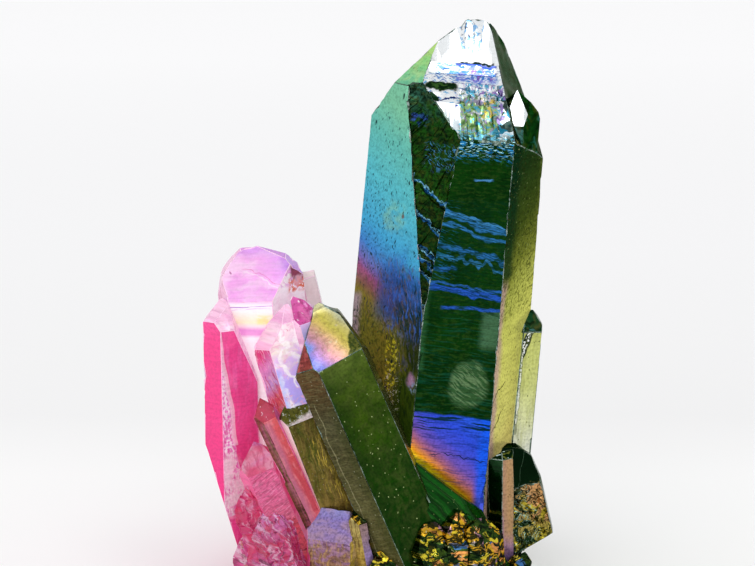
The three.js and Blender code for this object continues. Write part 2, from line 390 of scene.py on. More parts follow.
@dataclass(frozen=True)
class Film:
    """The finish of one face: film colours, gloss and how clear the quartz shows.

    Attributes:
        stops: Places in mm along the gradient, each with a colour.
        slant: Turn of the gradient's lines, in degrees. Positive ones run down to the right.
        warp: How far the pattern wanders, in mm.
        warp_size: The size of that wandering, in mm.
        marks: Further colours, each over the ones before.
        metal: How much the film mirrors like metal.
        rough: Roughness of the surface.
        clear: How much of the quartz shows through the film.
        tint: Colour of the light that passes.
        coat: How much white gloss lies on the film.
        painted_glow: How brightly the face glows in its own colour. This is painted light: it stands in for
        the light the quartz carries through to the film, and it lifts faces that lie in shade.
        lines: Spacing of the fine growth lines, in mm.
        relief: Height of those lines, in mm.
        shadow: How dark the growth lines are.
        grit: How dark the finest grains are.
        shared: Name of the one material that all faces with this film use, or nothing.
    """

    stops: tuple[tuple[float, int], ...]
    slant: float = 0.0
    warp: float = 1.2
    warp_size: float = 4.0
    marks: tuple[Mark, ...] = ()
    metal: float = 0.92
    rough: float = 0.16
    clear: float = 0.12
    tint: int = 0x285A2D
    coat: float = 0.06
    painted_glow: float = 0.0
    lines: float = 0.35
    relief: float = 0.012
    shadow: float = 0.3
    grit: float = 0.22
    shared: str = ""

    def marked(self, *marks: Mark) -> "Film":
        """Return this film with these marks on it."""
        return replace(self, marks=marks)

    def _place(self, recipe: Recipe, facet: Facet) -> tuple[Wire, Wire]:
        """Build the place across and along a face from object coordinates.

        Args:
            recipe: The material that gets the nodes.
            facet: The face.

        Returns:
            The two places, in mm.
        """
        where = recipe.node("ShaderNodeTexCoord", output="Object")
        product = {"operation": "DOT_PRODUCT"}
        wires = []
        for way in (facet.across, facet.along):
            dot = recipe.node("ShaderNodeVectorMath", product, {0: where, 1: way / MM}, "Value")
            wires.append(dot - facet.origin.dot(way))
        return wires[0], wires[1]

    def _ramp(self, recipe: Recipe, across: Wire, along: Wire) -> Wire:
        """Build the face's main colours.

        Args:
            recipe: The material that gets the nodes.
            across: The place across the face, in mm.
            along: The place along the face, in mm.

        Returns:
            The colour.
        """
        turn = math.radians(self.slant)
        first, last = self.stops[0][0], self.stops[-1][0]
        span = max(last - first, 1e-3)
        distance = along * math.cos(turn) + across * math.sin(turn)
        stops = [((place - first) / span, linear(colour)) for place, colour in self.stops]
        part = (distance - first) * (1 / span)
        return recipe.node("ShaderNodeValToRGB", {"stops": stops}, {0: part})

    def material(self, name: str, facet: Facet, seed: int) -> bpy.types.Material:
        """Make the material of one face.

        Args:
            name: The material's name.
            facet: The face that it covers.
            seed: A number that sets its patterns apart from other faces'.

        Returns:
            The finished material.
        """
        made = bpy.data.materials.new(name)
        recipe = Recipe(made)
        across, along = self._place(recipe, facet)
        place = recipe.place(across, along, seed * WANDER_SEED)
        wander = recipe.noise(place, 3.0, 1 / self.warp_size, "Color")
        parts = recipe.node("ShaderNodeSeparateColor", None, {0: wander})
        green = Wire(recipe, parts.socket.node.outputs[1])
        right = across + (parts - 0.5) * (2 * self.warp)
        up = along + (green - 0.5) * (2 * self.warp)
        colour = self._ramp(recipe, right, up)
        for number, mark in enumerate(self.marks):
            mask = mark.mask(recipe, right, up, seed * FACE_SEED + number * MARK_SEED)
            colour = recipe.mix(mask, colour, linear(mark.colour))
        fine = recipe.place(
            across * (LINE_STRETCH / self.lines), along * (1 / self.lines), seed * LINE_SEED
        )
        lines = recipe.noise(fine, 3.0)
        grains = recipe.noise(place, 2.0, 1 / GRAIN)
        shade = lines.step(0.3, 0.62) * self.shadow + grains.step(0.32, 0.6) * self.grit
        dark = recipe.mix(shade + (1 - self.shadow - self.grit), (0.0, 0.0, 0.0, 1.0), colour)
        depth = {"Strength": 1.0, "Distance": self.relief * MM, "Height": lines}
        bump = recipe.node("ShaderNodeBump", None, depth)
        rough = green.step(0.35, 0.7) * (self.rough * 0.8) + self.rough * 0.5
        coated = recipe.node(
            "ShaderNodeBsdfPrincipled",
            None,
            {
                "Base Color": dark,
                "Metallic": self.metal,
                "Roughness": rough,
                "IOR": QUARTZ_IOR,
                "Specular IOR Level": 0.0,
                "Specular Tint": GRAZING_TINT,
                "Coat Weight": self.coat,
                "Coat Roughness": COAT_ROUGHNESS,
                "Coat IOR": QUARTZ_IOR,
                # Painted light: the face emits its own colour, standing in for light carried through the
                # quartz and lifting faces in shade.
                "Emission Color": dark,
                "Emission Strength": self.painted_glow,
                "Normal": bump,
            },
        )
        glass = recipe.node(
            "ShaderNodeBsdfPrincipled",
            None,
            {
                "Base Color": linear(self.tint),
                "Metallic": 0.0,
                "Roughness": GLASS_ROUGHNESS,
                "IOR": QUARTZ_IOR,
                "Transmission Weight": 1.0,
                "Normal": bump,
            },
        )
        patches = parts.step(0.3, 0.7) * (2 * FILM_VEIL * self.clear) + self.clear * (1 - FILM_VEIL)
        recipe.finish(recipe.node("ShaderNodeMixShader", None, {0: patches, 1: coated, 2: glass}))
        return made


@dataclass(frozen=True)
class Relief:
    """How a face departs from flat: growth ledges, roughness and broken chunks.

    Attributes:
        spacing: Mean distance between ledges, in mm.
        depth: Deepest ledge, in mm.
        riser: How wide a ledge's riser is, in mm.
        cell: Distance between the cuts that cross the ledges, in mm.
        slant: Turn of the ledges, in degrees. Positive ones run down to the right.
        rough: Random depth, in mm.
        grain: Size of that roughness, in mm.
        chunk: Size of broken chunks, in mm, or 0 for none.
        block: How deep the broken chunks go, in mm.
        broken: Lowest and highest place of the chunks across and along the face, in mm, or None for all.
        ledges: Places and depths of the ledges, in mm, instead of random ones.
        fade: How far from the edges the face gets its full depth, in mm.
        cover: How much of the face the ledges cover, from 0 to 1.
        seed: Number that the ledges' places come from.
    """

    spacing: float = 1.6
    depth: float = 0.05
    riser: float = 0.1
    cell: float = 1.5
    slant: float = 0.0
    rough: float = 0.0
    grain: float = 1.0
    chunk: float = 0.0
    block: float = 0.4
    broken: Box | None = None
    ledges: tuple[Pair, ...] = ()
    fade: float = 0.4
    cover: float = 0.7
    seed: int = 1

    def ways(self, facet: Facet) -> tuple[Vector, Vector]:
        """Turn the face's directions to those of its ledges.

        Args:
            facet: The face.

        Returns:
            The directions across and along the ledges.
        """
        turn = math.radians(self.slant)
        up = facet.along * math.cos(turn) + facet.across * math.sin(turn)
        return up.cross(facet.normal), up

    def knots(self, low: float, high: float) -> list[Pair]:
        """Work out the ledges' profile.

        Args:
            low: Where the face starts along the ledges' direction, in mm.
            high: Where it ends.

        Returns:
            Places with their depths, in rising order. Each ledge steps inwards as it goes up.
        """
        if self.ledges:
            profile = [(low - 1.0, 0.0)]
            ends = [place for place, _ in self.ledges[1:]] + [high + 1.0]
            for (place, step), end in zip(self.ledges, ends):
                profile += [(place, step), (end - self.riser, 0.25 * step)]
            return profile
        draw = random.Random(self.seed)
        place = low - self.spacing * draw.random()
        profile = [(place - 1.0, 0.0)]
        while place < high + self.spacing:
            gap = max(self.spacing * (0.35 + 1.3 * draw.random()), 2.5 * self.riser)
            step = self.depth * (0.25 + 0.75 * draw.random() ** 2)
            profile += [(place, step), (place + gap - self.riser, 0.0)]
            place += gap
        return profile

    def at(self, profile: list[Pair], right: float, up: float, point: Vector) -> Pair:
        """Work out the depths at one place of the face.

        Args:
            profile: The ledges' profile.
            right: The place across the ledges, in mm.
            up: The place along their direction, in mm.
            point: The same place in the object.

        Returns:
            How deep the ledges and the broken chunks lie under the flat face, in mm.
        """
        number = bisect_right(profile, (up, -1.0))
        low, high = profile[max(0, number - 1)], profile[min(number, len(profile) - 1)]
        share = (up - low[0]) / max(high[0] - low[0], 1e-6)
        ledge = low[1] + (high[1] - low[1]) * min(1.0, max(0.0, share))
        spread = noise.noise(
            Vector((right / LEDGE_PATCH[0], up / LEDGE_PATCH[1], self.seed * PATCH_SEED))
        )
        ledge *= smooth_step(0.25 - self.cover, 1.15 - self.cover, 0.5 + 0.9 * spread)
        if self.rough:
            ledge += self.rough * (0.5 + 0.5 * noise.fractal(point / self.grain, *ROUGH_DETAIL))
        if not self.chunk:
            return max(0.0, ledge), 0.0
        nearest = noise.voronoi(point / self.chunk)[1][0]
        tilt = noise.cell_vector(nearest * TILT_SEED) - Vector((0.5, 0.5, 0.5))
        part = 0.35 + 0.45 * noise.cell(nearest * DEPTH_SEED)
        part += (point / self.chunk - nearest).dot(tilt)
        return max(0.0, ledge), self.block * max(0.0, part) * self.inside(right, up)

    def inside(self, right: float, up: float) -> float:
        """Tell how much a place lies in the broken zone.

        Args:
            right: The place across the ledges, in mm.
            up: The place along their direction, in mm.

        Returns:
            The share from 0 to 1.
        """
        if self.broken is None:
            return 1.0
        left, end, low, high = self.broken
        inside = min(right - left, end - right, up - low, high - up)
        return smooth_step(-0.4, 0.4, inside)


@dataclass(frozen=True)
class Break:
    """A further flat face: a point on it, its turn to the right and its rise above the level."""

    at: Triple
    turn: float
    rise: float

    def facet(self, key: str, axis: Vector) -> Facet:
        """Place the face.

        Args:
            key: The face's key.
            axis: The crystal's axis.

        Returns:
            The placed face.
        """
        rise, turn = math.radians(self.rise), math.radians(self.turn)
        level = math.cos(rise)
        normal = Vector((level * math.sin(turn), -level * math.cos(turn), math.sin(rise)))
        along = axis - normal * axis.dot(normal)
        if along.length < 0.35:
            along = Vector((0, 1, 0)) - normal * normal.y
        return Facet(key, Vector(self.at), normal, along.normalized())


@dataclass
class Crystal:
    """One quartz crystal of the cluster, in millimetres.

    Attributes:
        name: Its name.
        foot: Where its axis meets the base cut.
        lean: How far the axis leans to the right and to the front, in degrees.
        roll: Turn of face 0 from the front towards the right, in degrees.
        reach: Distance of its prism faces from the axis, at the base.
        shoulder: Length along the axis at which each prism face meets its tip face.
        taper: How much the prism faces lean inwards, in degrees.
        breaks: Further flat faces.
        films: The finish of each face by its key, with "sides", "tips", "breaks" and "all" for the rest.
        reliefs: The relief of each face by its key, in the same way.
        wave: How far ledges wander along the crystal, in mm.
        worn: Width of the worn edges, in mm.
        edges: The finish of its worn edges, a pale paint that is a painted highlight along them, or None
        where they look like the faces.
    """

    name: str
    foot: Pair
    lean: Pair
    roll: float
    reach: tuple[float, ...]
    shoulder: tuple[float, ...]
    taper: float = 0.5
    breaks: tuple[Break, ...] = ()
    films: dict[str, Film] = field(default_factory=dict)
    reliefs: dict[str, Relief] = field(default_factory=dict)
    wave: float = 0.5
    worn: float = 0.1
    edges: Film | None = None

    def axis(self) -> Vector:
        """Return the direction of the crystal's length."""
        right, front = (math.tan(math.radians(angle)) for angle in self.lean)
        return Vector((right, -front, 1.0)).normalized()

    def facets(self) -> list[Facet]:
        """Place every face of the crystal, apart from the base cut.

        Returns:
            Each prism face with its tip face, and then the further faces.
        """
        axis = self.axis()
        front = Vector((0, -1, 0))
        front = (front - axis * front.dot(axis)).normalized()
        foot = Vector((*self.foot, 0.0))
        slope = math.radians(self.taper)
        placed = []
        for number in range(FACES):
            turn = Matrix.Rotation(math.radians(self.roll + 60 * number), 3, axis)
            outward = turn @ front
            side = foot + outward * self.reach[number]
            normal = outward * math.cos(slope) + axis * math.sin(slope)
            along = (axis - normal * axis.dot(normal)).normalized()
            placed.append(Facet(f"side{number}", side, normal, along))
            inset = self.shoulder[number] * math.tan(slope)
            edge = side - outward * inset + axis * self.shoulder[number]
            normal = outward * math.cos(TIP_ANGLE) + axis * math.sin(TIP_ANGLE)
            along = (axis - normal * axis.dot(normal)).normalized()
            placed.append(Facet(f"tip{number}", edge, normal, along))
        for number, cut in enumerate(self.breaks):
            placed.append(cut.facet(f"break{number}", axis))
        return placed

    def _pick(self, table: dict, key: str, default: object) -> object:
        """Find a face's own entry, or its kind's, or the one for all faces, or the default."""
        kind = key.rstrip("0123456789") + "s"
        return table.get(key, table.get(kind, table.get("all", default)))

    def shape(self, wardrobe: "Wardrobe") -> bmesh.types.BMesh:
        """Build the crystal with its ledges, worn edges and chips.

        Args:
            wardrobe: Gives each face its material slot.

        Returns:
            The closed mesh, in millimetres.
        """
        facets = self.facets()
        mesh = self._block()
        slots = {}
        for facet in facets:
            made = self._cut(mesh, facet)
            if made:
                slot = wardrobe.slot(self.name, facet, self._pick(self.films, facet.key, GREEN_BACK))
                slots[facet.key] = slot
                for face in made:
                    face.material_index = slot
        rims = bmesh.ops.bevel(
            mesh,
            geom=mesh.edges[:],
            offset=self.worn,
            segments=1,
            profile=0.5,
            affect="EDGES",
            material=-1,
            clamp_overlap=True,
        )["faces"]
        # The worn edges get a pale finish: a painted highlight along the edges.
        if self.edges:
            for face in rims:
                face.material_index = wardrobe.slot(self.name, EVERYWHERE, self.edges)
        present = [facet for facet in facets if facet.key in slots]
        profiles = {}
        for facet in present:
            relief = self._pick(self.reliefs, facet.key, PLAIN_RELIEF)
            profiles[facet.key] = (relief, self._slice(mesh, facet, relief))
        self._press(mesh, present, profiles)
        bmesh.ops.recalc_face_normals(mesh, faces=mesh.faces[:])
        bmesh.ops.triangulate(mesh, faces=mesh.faces[:])
        return mesh

    def _block(self) -> bmesh.types.BMesh:
        """Make the block that the crystal is cut from.

        Returns:
            The block, standing below the base cut.
        """
        mesh = bmesh.new()
        size = 2 * max(self.shoulder) + BLOCK_SPARE
        bmesh.ops.create_cube(mesh, size=size)
        foot = Vector((*self.foot, size / 2 - ROOT_DEPTH))
        bmesh.ops.translate(mesh, vec=foot, verts=mesh.verts[:])
        return mesh

    @staticmethod
    def _cut(mesh: bmesh.types.BMesh, facet: Facet) -> list[bmesh.types.BMFace]:
        """Cut the block flat along one face.

        Args:
            mesh: The block.
            facet: The face to cut along.

        Returns:
            The new face, or nothing where it misses the block.
        """
        geometry = mesh.verts[:] + mesh.edges[:] + mesh.faces[:]
        made = bmesh.ops.bisect_plane(
            mesh,
            geom=geometry,
            dist=CUT_PRECISION,
            plane_co=facet.origin,
            plane_no=facet.normal,
            clear_outer=True,
        )
        rim = [part for part in made["geom_cut"] if isinstance(part, bmesh.types.BMEdge)]
        rim = [edge for edge in rim if edge.is_boundary]
        if len(rim) < 3:
            return []
        return bmesh.ops.edgeloop_fill(mesh, edges=rim)["faces"]

    @staticmethod
    def _slice(mesh: bmesh.types.BMesh, facet: Facet, relief: Relief) -> list[Pair]:
        """Slice one face along its ledges and across them.

        Args:
            mesh: The crystal.
            facet: The face to slice.
            relief: The face's relief.

        Returns:
            The ledges' profile.
        """
        flat = [
            face
            for face in mesh.faces
            if face.normal.dot(facet.normal) > SAME_TURN
            and abs(facet.height(face.verts[0].co)) < SAME_HEIGHT
        ]
        if not flat:
            return [(0.0, 0.0), (1.0, 0.0)]
        right, up = relief.ways(facet)
        corners = [vert.co - facet.origin for face in flat for vert in face.verts]
        rights, ups = [c.dot(right) for c in corners], [c.dot(up) for c in corners]
        lowest = min(ups)
        profile = relief.knots(lowest, max(ups))
        cuts = [(up, place) for place, _ in profile if lowest < place < max(ups)]
        draw = random.Random(relief.seed + SLICE_SEED)
        place = min(rights) + relief.cell * 0.5
        while place < max(rights):
            cuts.append((right, place))
            place += relief.cell * (0.75 + 0.5 * draw.random())
        geometry = dict.fromkeys(flat)
        for face in flat:
            geometry.update(dict.fromkeys((*face.edges, *face.verts)))
        geometry = list(geometry)
        for way, offset in cuts:
            made = bmesh.ops.bisect_plane(
                mesh,
                geom=geometry,
                dist=SLICE_PRECISION,
                plane_co=facet.origin + way * offset,
                plane_no=way,
            )
            geometry = made["geom"]
        if relief.chunk:
            edges = {}
            for part in geometry:
                if isinstance(part, bmesh.types.BMFace):
                    middle = part.calc_center_median() - facet.origin
                    if relief.inside(middle.dot(right), middle.dot(up)) > 0.01:
                        edges.update(dict.fromkeys(part.edges))
            bmesh.ops.subdivide_edges(mesh, edges=list(edges), cuts=2, use_grid_fill=True)
        return profile

    def _press(self, mesh: bmesh.types.BMesh, facets: list[Facet], profiles: dict) -> None:
        """Press ledges, roughness and chips into the sliced faces.

        Args:
            mesh: The sliced crystal.
            facets: The faces that it has.
            profiles: Each face's relief and ledge profile by its key.
        """
        axis = self.axis()
        top = min(self.shoulder)
        near = NEAR_EDGE * self.worn
        sines = {
            (a.key, b.key): max(LEAST_SINE, math.sqrt(max(0.0, 1 - a.normal.dot(b.normal) ** 2)))
            for a in facets
            for b in facets
        }
        moves = []
        for vert in mesh.verts:
            point = vert.co.copy()
            heights = [facet.height(point) for facet in facets]
            active = [i for i, height in enumerate(heights) if height > -near]
            if not active:
                continue
            depths = []
            for i in active:
                facet = facets[i]
                relief, profile = profiles[facet.key]
                right, up = relief.ways(facet)
                offset = point - facet.origin
                margin = min(
                    (-heights[j] / sines[facet.key, facets[j].key]
                     for j in range(len(facets)) if j != i),
                    default=9.0,
                )
                edge = smooth_step(-0.2 * relief.fade, relief.fade, margin)
                ledge, block = relief.at(profile, offset.dot(right), offset.dot(up), point)
                depths.append(ledge * (EDGE_SHARE + (1 - EDGE_SHARE) * edge) + block)
            chip = 0.0
            if len(active) > 1:
                bite = noise.fractal(point / CHIP_SIZE + Vector((self.roll, 0, 0)), *CHIP_DETAIL)
                chip = DEEPEST_CHIP * smooth_step(*CHIP_RANGE, bite)
            normals = [facets[i].normal for i in active]
            move = self._least_move(normals, [depth + chip for depth in depths])
            up = (point - Vector((*self.foot, 0))).dot(axis)
            ends = smooth_step(top + 1.0, top - CALM_END, up) if up < top + 1.0 else 0.0
            ends *= smooth_step(0.0, CALM_END, up)
            shift = self.wave * ends * noise.noise(point / WAVE_SIZE + Vector((0, 0, self.roll)))
            moves.append((vert, move + axis * shift))
        for vert, move in moves:
            vert.co += move

    @staticmethod
    def _least_move(normals: list[Vector], depths: list[float]) -> Vector:
        """Find the shortest move that takes a corner inwards from each of its faces.

        Args:
            normals: Outward directions of the faces.
            depths: How far inwards from each face to go.

        Returns:
            The move.
        """
        if len(normals) == 1:
            return normals[0] * -depths[0]
        matrix = Matrix.Diagonal((RESISTANCE, RESISTANCE, RESISTANCE))
        total = Vector((0, 0, 0))
        for normal, depth in zip(normals, depths):
            for row in range(3):
                for column in range(3):
                    matrix[row][column] += normal[row] * normal[column]
            total -= normal * depth
        return matrix.inverted() @ total


@dataclass
class Wardrobe:
    """All material slots of the cluster, in the order of their numbers."""

    materials: list[bpy.types.Material] = field(default_factory=list)
    slots: dict[str, int] = field(default_factory=dict)

    def slot(self, owner: str, facet: Facet, film: Film) -> int:
        """Find or make the slot of one face.

        Args:
            owner: The crystal's name.
            facet: The face.
            film: Its finish.

        Returns:
            The slot's number.
        """
        name = film.shared or f"{owner}_{facet.key}"
        if name not in self.slots:
            number = len(self.materials)
            self.slots[name] = number
            self.materials.append(film.material(name, EVERYWHERE if film.shared else facet, number))
        return self.slots[name]


# FINISHES

EVERYWHERE = Facet("all", Vector((0, 0, 0)), Vector((0.6, -0.8, 0)), Vector((0, 0, 1)))
PLAIN_RELIEF = Relief(spacing=2.6, depth=0.03, riser=0.3, cell=1.8, cover=0.6)
FLAT = Relief(spacing=6, depth=0, cell=3)
CLOUD, STREAK, SPECK = Pattern.CLOUD, Pattern.STREAK, Pattern.SPECK
MOSAIC, BAND = Pattern.MOSAIC, Pattern.BAND

PITS = Mark(0x142828, SPECK, (0.5, 1.2), 0.2, 0.09, 0.8)
FLECKS = Mark(0xD7E196, SPECK, (0.7, 0.9), 0.14, 0.07, 0.8)

# Pale grey-green finish of the worn edges: a painted highlight along them, with dark patches of wear.
EDGE_HIGHLIGHT_AND_WEAR = Film(
    stops=((0, 0x96AF96), (30, 0xAABEB9), (74, 0xBED7CD)), metal=0.5, coat=0.3, clear=0.2, tint=0xC8DCC8,
    grit=0.5, shared="edge_highlight_and_wear",
).marked(Mark(0x285032, CLOUD, (0.7, 0.7), 0.48, 0.1, 0.85))
# Pale pink finish of the pink crystals' worn edges: a painted highlight along them, with a painted glow.
PINK_EDGE_HIGHLIGHT = Film(
    stops=((0, 0xFA96C8), (45, 0xFFD7F0)), metal=0, rough=0.25, coat=0.3, painted_glow=0.15, clear=0.05,
    tint=0xFADCEB, shadow=0.05, shared="pink_edge_highlight",
)
GREEN_BACK = Film(
    stops=(
        (0, 0x1E3214), (14, 0x5A6423), (24, 0x3C643C), (36, 0x196E6E), (50, 0x3C96A5), (62, 0x5AAA96),
        (74, 0xAAC878),
    ),
    slant=14, warp=3, warp_size=9, rough=0.18, clear=0.03, shared="green_back",
).marked(
    Mark(0x6E5096, CLOUD, (7, 4), 0.56, 0.1, 0.6),
    Mark(0x0F3219, STREAK, (7, 0.5), 0.56, 0.06, 0.6, slant=8),
    PITS,
)
DARK_TIP = Film(
    stops=((0, 0x163416), (30, 0x143E20), (74, 0x28583C)), warp=2, coat=0, clear=0.01,
    shared="dark_tip",
).marked(
    Mark(0x5A9696, MOSAIC, (1.3, 0.9), 0.16, 0.04, 0.6),
    Mark(0x5F5A28, CLOUD, (1.2, 1.6), 0.56, 0.1, 0.6),
    Mark(0x082210, STREAK, (2, 0.35), 0.55, 0.05, 0.7, slant=20),
)
PINK = Film(
    stops=((0, 0xE14B87), (12, 0xF55596), (28, 0xFC7DB9), (45, 0xF5AAE4)), warp=3, warp_size=8,
    metal=0.12, rough=0.28, coat=0.5, painted_glow=0.14, clear=0.3, tint=0xFA96C3, shadow=0.1, grit=0.12,
).marked(
    Mark(0xF8CDE6, CLOUD, (3, 6), 0.56, 0.12, 0.6),
    Mark(0xBE8CE1, CLOUD, (6, 4), 0.6, 0.1, 0.6),
    Mark(0xBE2864, STREAK, (0.5, 3), 0.62, 0.05, 0.5),
)
PINK_BACK = replace(PINK, shared="pink_back")
PINK_TIP = replace(
    PINK, stops=((0, 0xFA73AF), (20, 0xFEB9DC), (48, 0xFFD4F0)), clear=0.12, tint=0xFABED7,
    shared="pink_tip",
).marked(
    Mark(0xFFF0F5, CLOUD, (1.6, 1.2), 0.56, share=0.6),
    Mark(0xD782BE, CLOUD, (1, 1.4), 0.6, 0.1, 0.5),
)
PALE = replace(
    PINK, stops=((0, 0xFCEEF6), (45, 0xFCF8FA)), warp=1, clear=0.2, tint=0xFFF0F6, shadow=0.04, grit=0.04,
    metal=0.05, painted_glow=0.28, marks=(),
)
DRUSE = Film(
    stops=((0, 0x10280E), (6, 0x123012), (14, 0x1E3C12)), warp=0.9, warp_size=1.1, rough=0.12, clear=0.01,
    shared="druse",
).marked(
    Mark(0x40581A, CLOUD, (0.9, 0.7), 0.5, 0.1, 0.8),
    Mark(0xDEAC2A, MOSAIC, (1.9, 1.1), 0.34, 0.04, 0.95),
    Mark(0xDE9650, MOSAIC, (1.3, 1), 0.15, 0.04, 0.95),
    Mark(0xE8D43C, MOSAIC, (0.7, 0.55), 0.15, 0.03, 0.9),
    Mark(0xAF7D96, MOSAIC, (1.2, 1.4), 0.12, 0.04, 0.9),
    Mark(0x4678B9, MOSAIC, (0.9, 0.6), 0.07, 0.03, 0.9),
    Mark(0x081A08, STREAK, (1.1, 0.35), 0.53, 0.03, 0.95, slant=-12),
    Mark(0x081A08, CLOUD, (0.6, 0.5), 0.56, 0.03, 0.9),
    Mark(0xF0F0BE, SPECK, (0.6, 0.5), 0.12, 0.05, 0.9),
)
ROCK_PINK = replace(
    PINK, stops=((0, 0xCA3C7E), (8, 0xDC5498), (16, 0xE27AB8)), warp=1.2, warp_size=1.5, painted_glow=0.1,
    clear=0.2, shared="rock_pink",
).marked(
    Mark(0xF5D7E8, STREAK, (0.5, 1.3), 0.54, share=0.8, slant=20),
    Mark(0xC8CDF5, CLOUD, (1.2, 0.8), 0.6, share=0.7),
    Mark(0x782846, STREAK, (0.7, 0.3), 0.58, share=0.7, slant=30),
    Mark(0xDC9650, CLOUD, (0.9, 0.7), 0.6, share=0.8),
    Mark(0xFFF5FA, SPECK, (0.8, 0.8), 0.16, 0.06, 0.9),
)
CUT_STONE = Film(
    stops=((0, 0x969187), (1, 0x969187)), warp=2, metal=0, rough=0.65, coat=0, clear=0.05,
    shared="cut_stone",
).marked(
    Mark(0x6E6455, CLOUD, (4, 4), 0.5, 0.1, 0.6),
    Mark(0xBEB9AF, CLOUD, (1.2, 1.2), 0.58, share=0.5),
)

PALE_SIDE = Film(
    stops=(
        (0, 0xEBF0EB), (17, 0xECF0E2), (21, 0xE0E4B2), (26, 0xD0D684), (32, 0xCCD276), (34, 0xBEC664),
        (40, 0x788C3C),
    ),
    metal=0.1, rough=0.14, coat=0.2, painted_glow=0.15, clear=0.2, shadow=0.08, tint=0xEBEE96, warp=1,
    shared="pale_side",
).marked(
    Mark(0x3C461E, SPECK, (0.8, 1), 0.16, 0.07, 0.8),
    Mark(0xA0A550, STREAK, (0.5, 5), 0.55, 0.12, 0.4),
)
NOTCH_ZONE = (-3, 3, 29, 36)
EDGE_AT = -1.15
# Blue of the light caught by the tilted growth ledges, painted as a reflection.
LEDGE_REFLECTION_BLUE = 0x2D70AC
STRIP_LEDGES = (-8.65, -12.3, -15.8, -17.1, -18.55, -21.95, -23.5)
STRIP_SLANT = 28

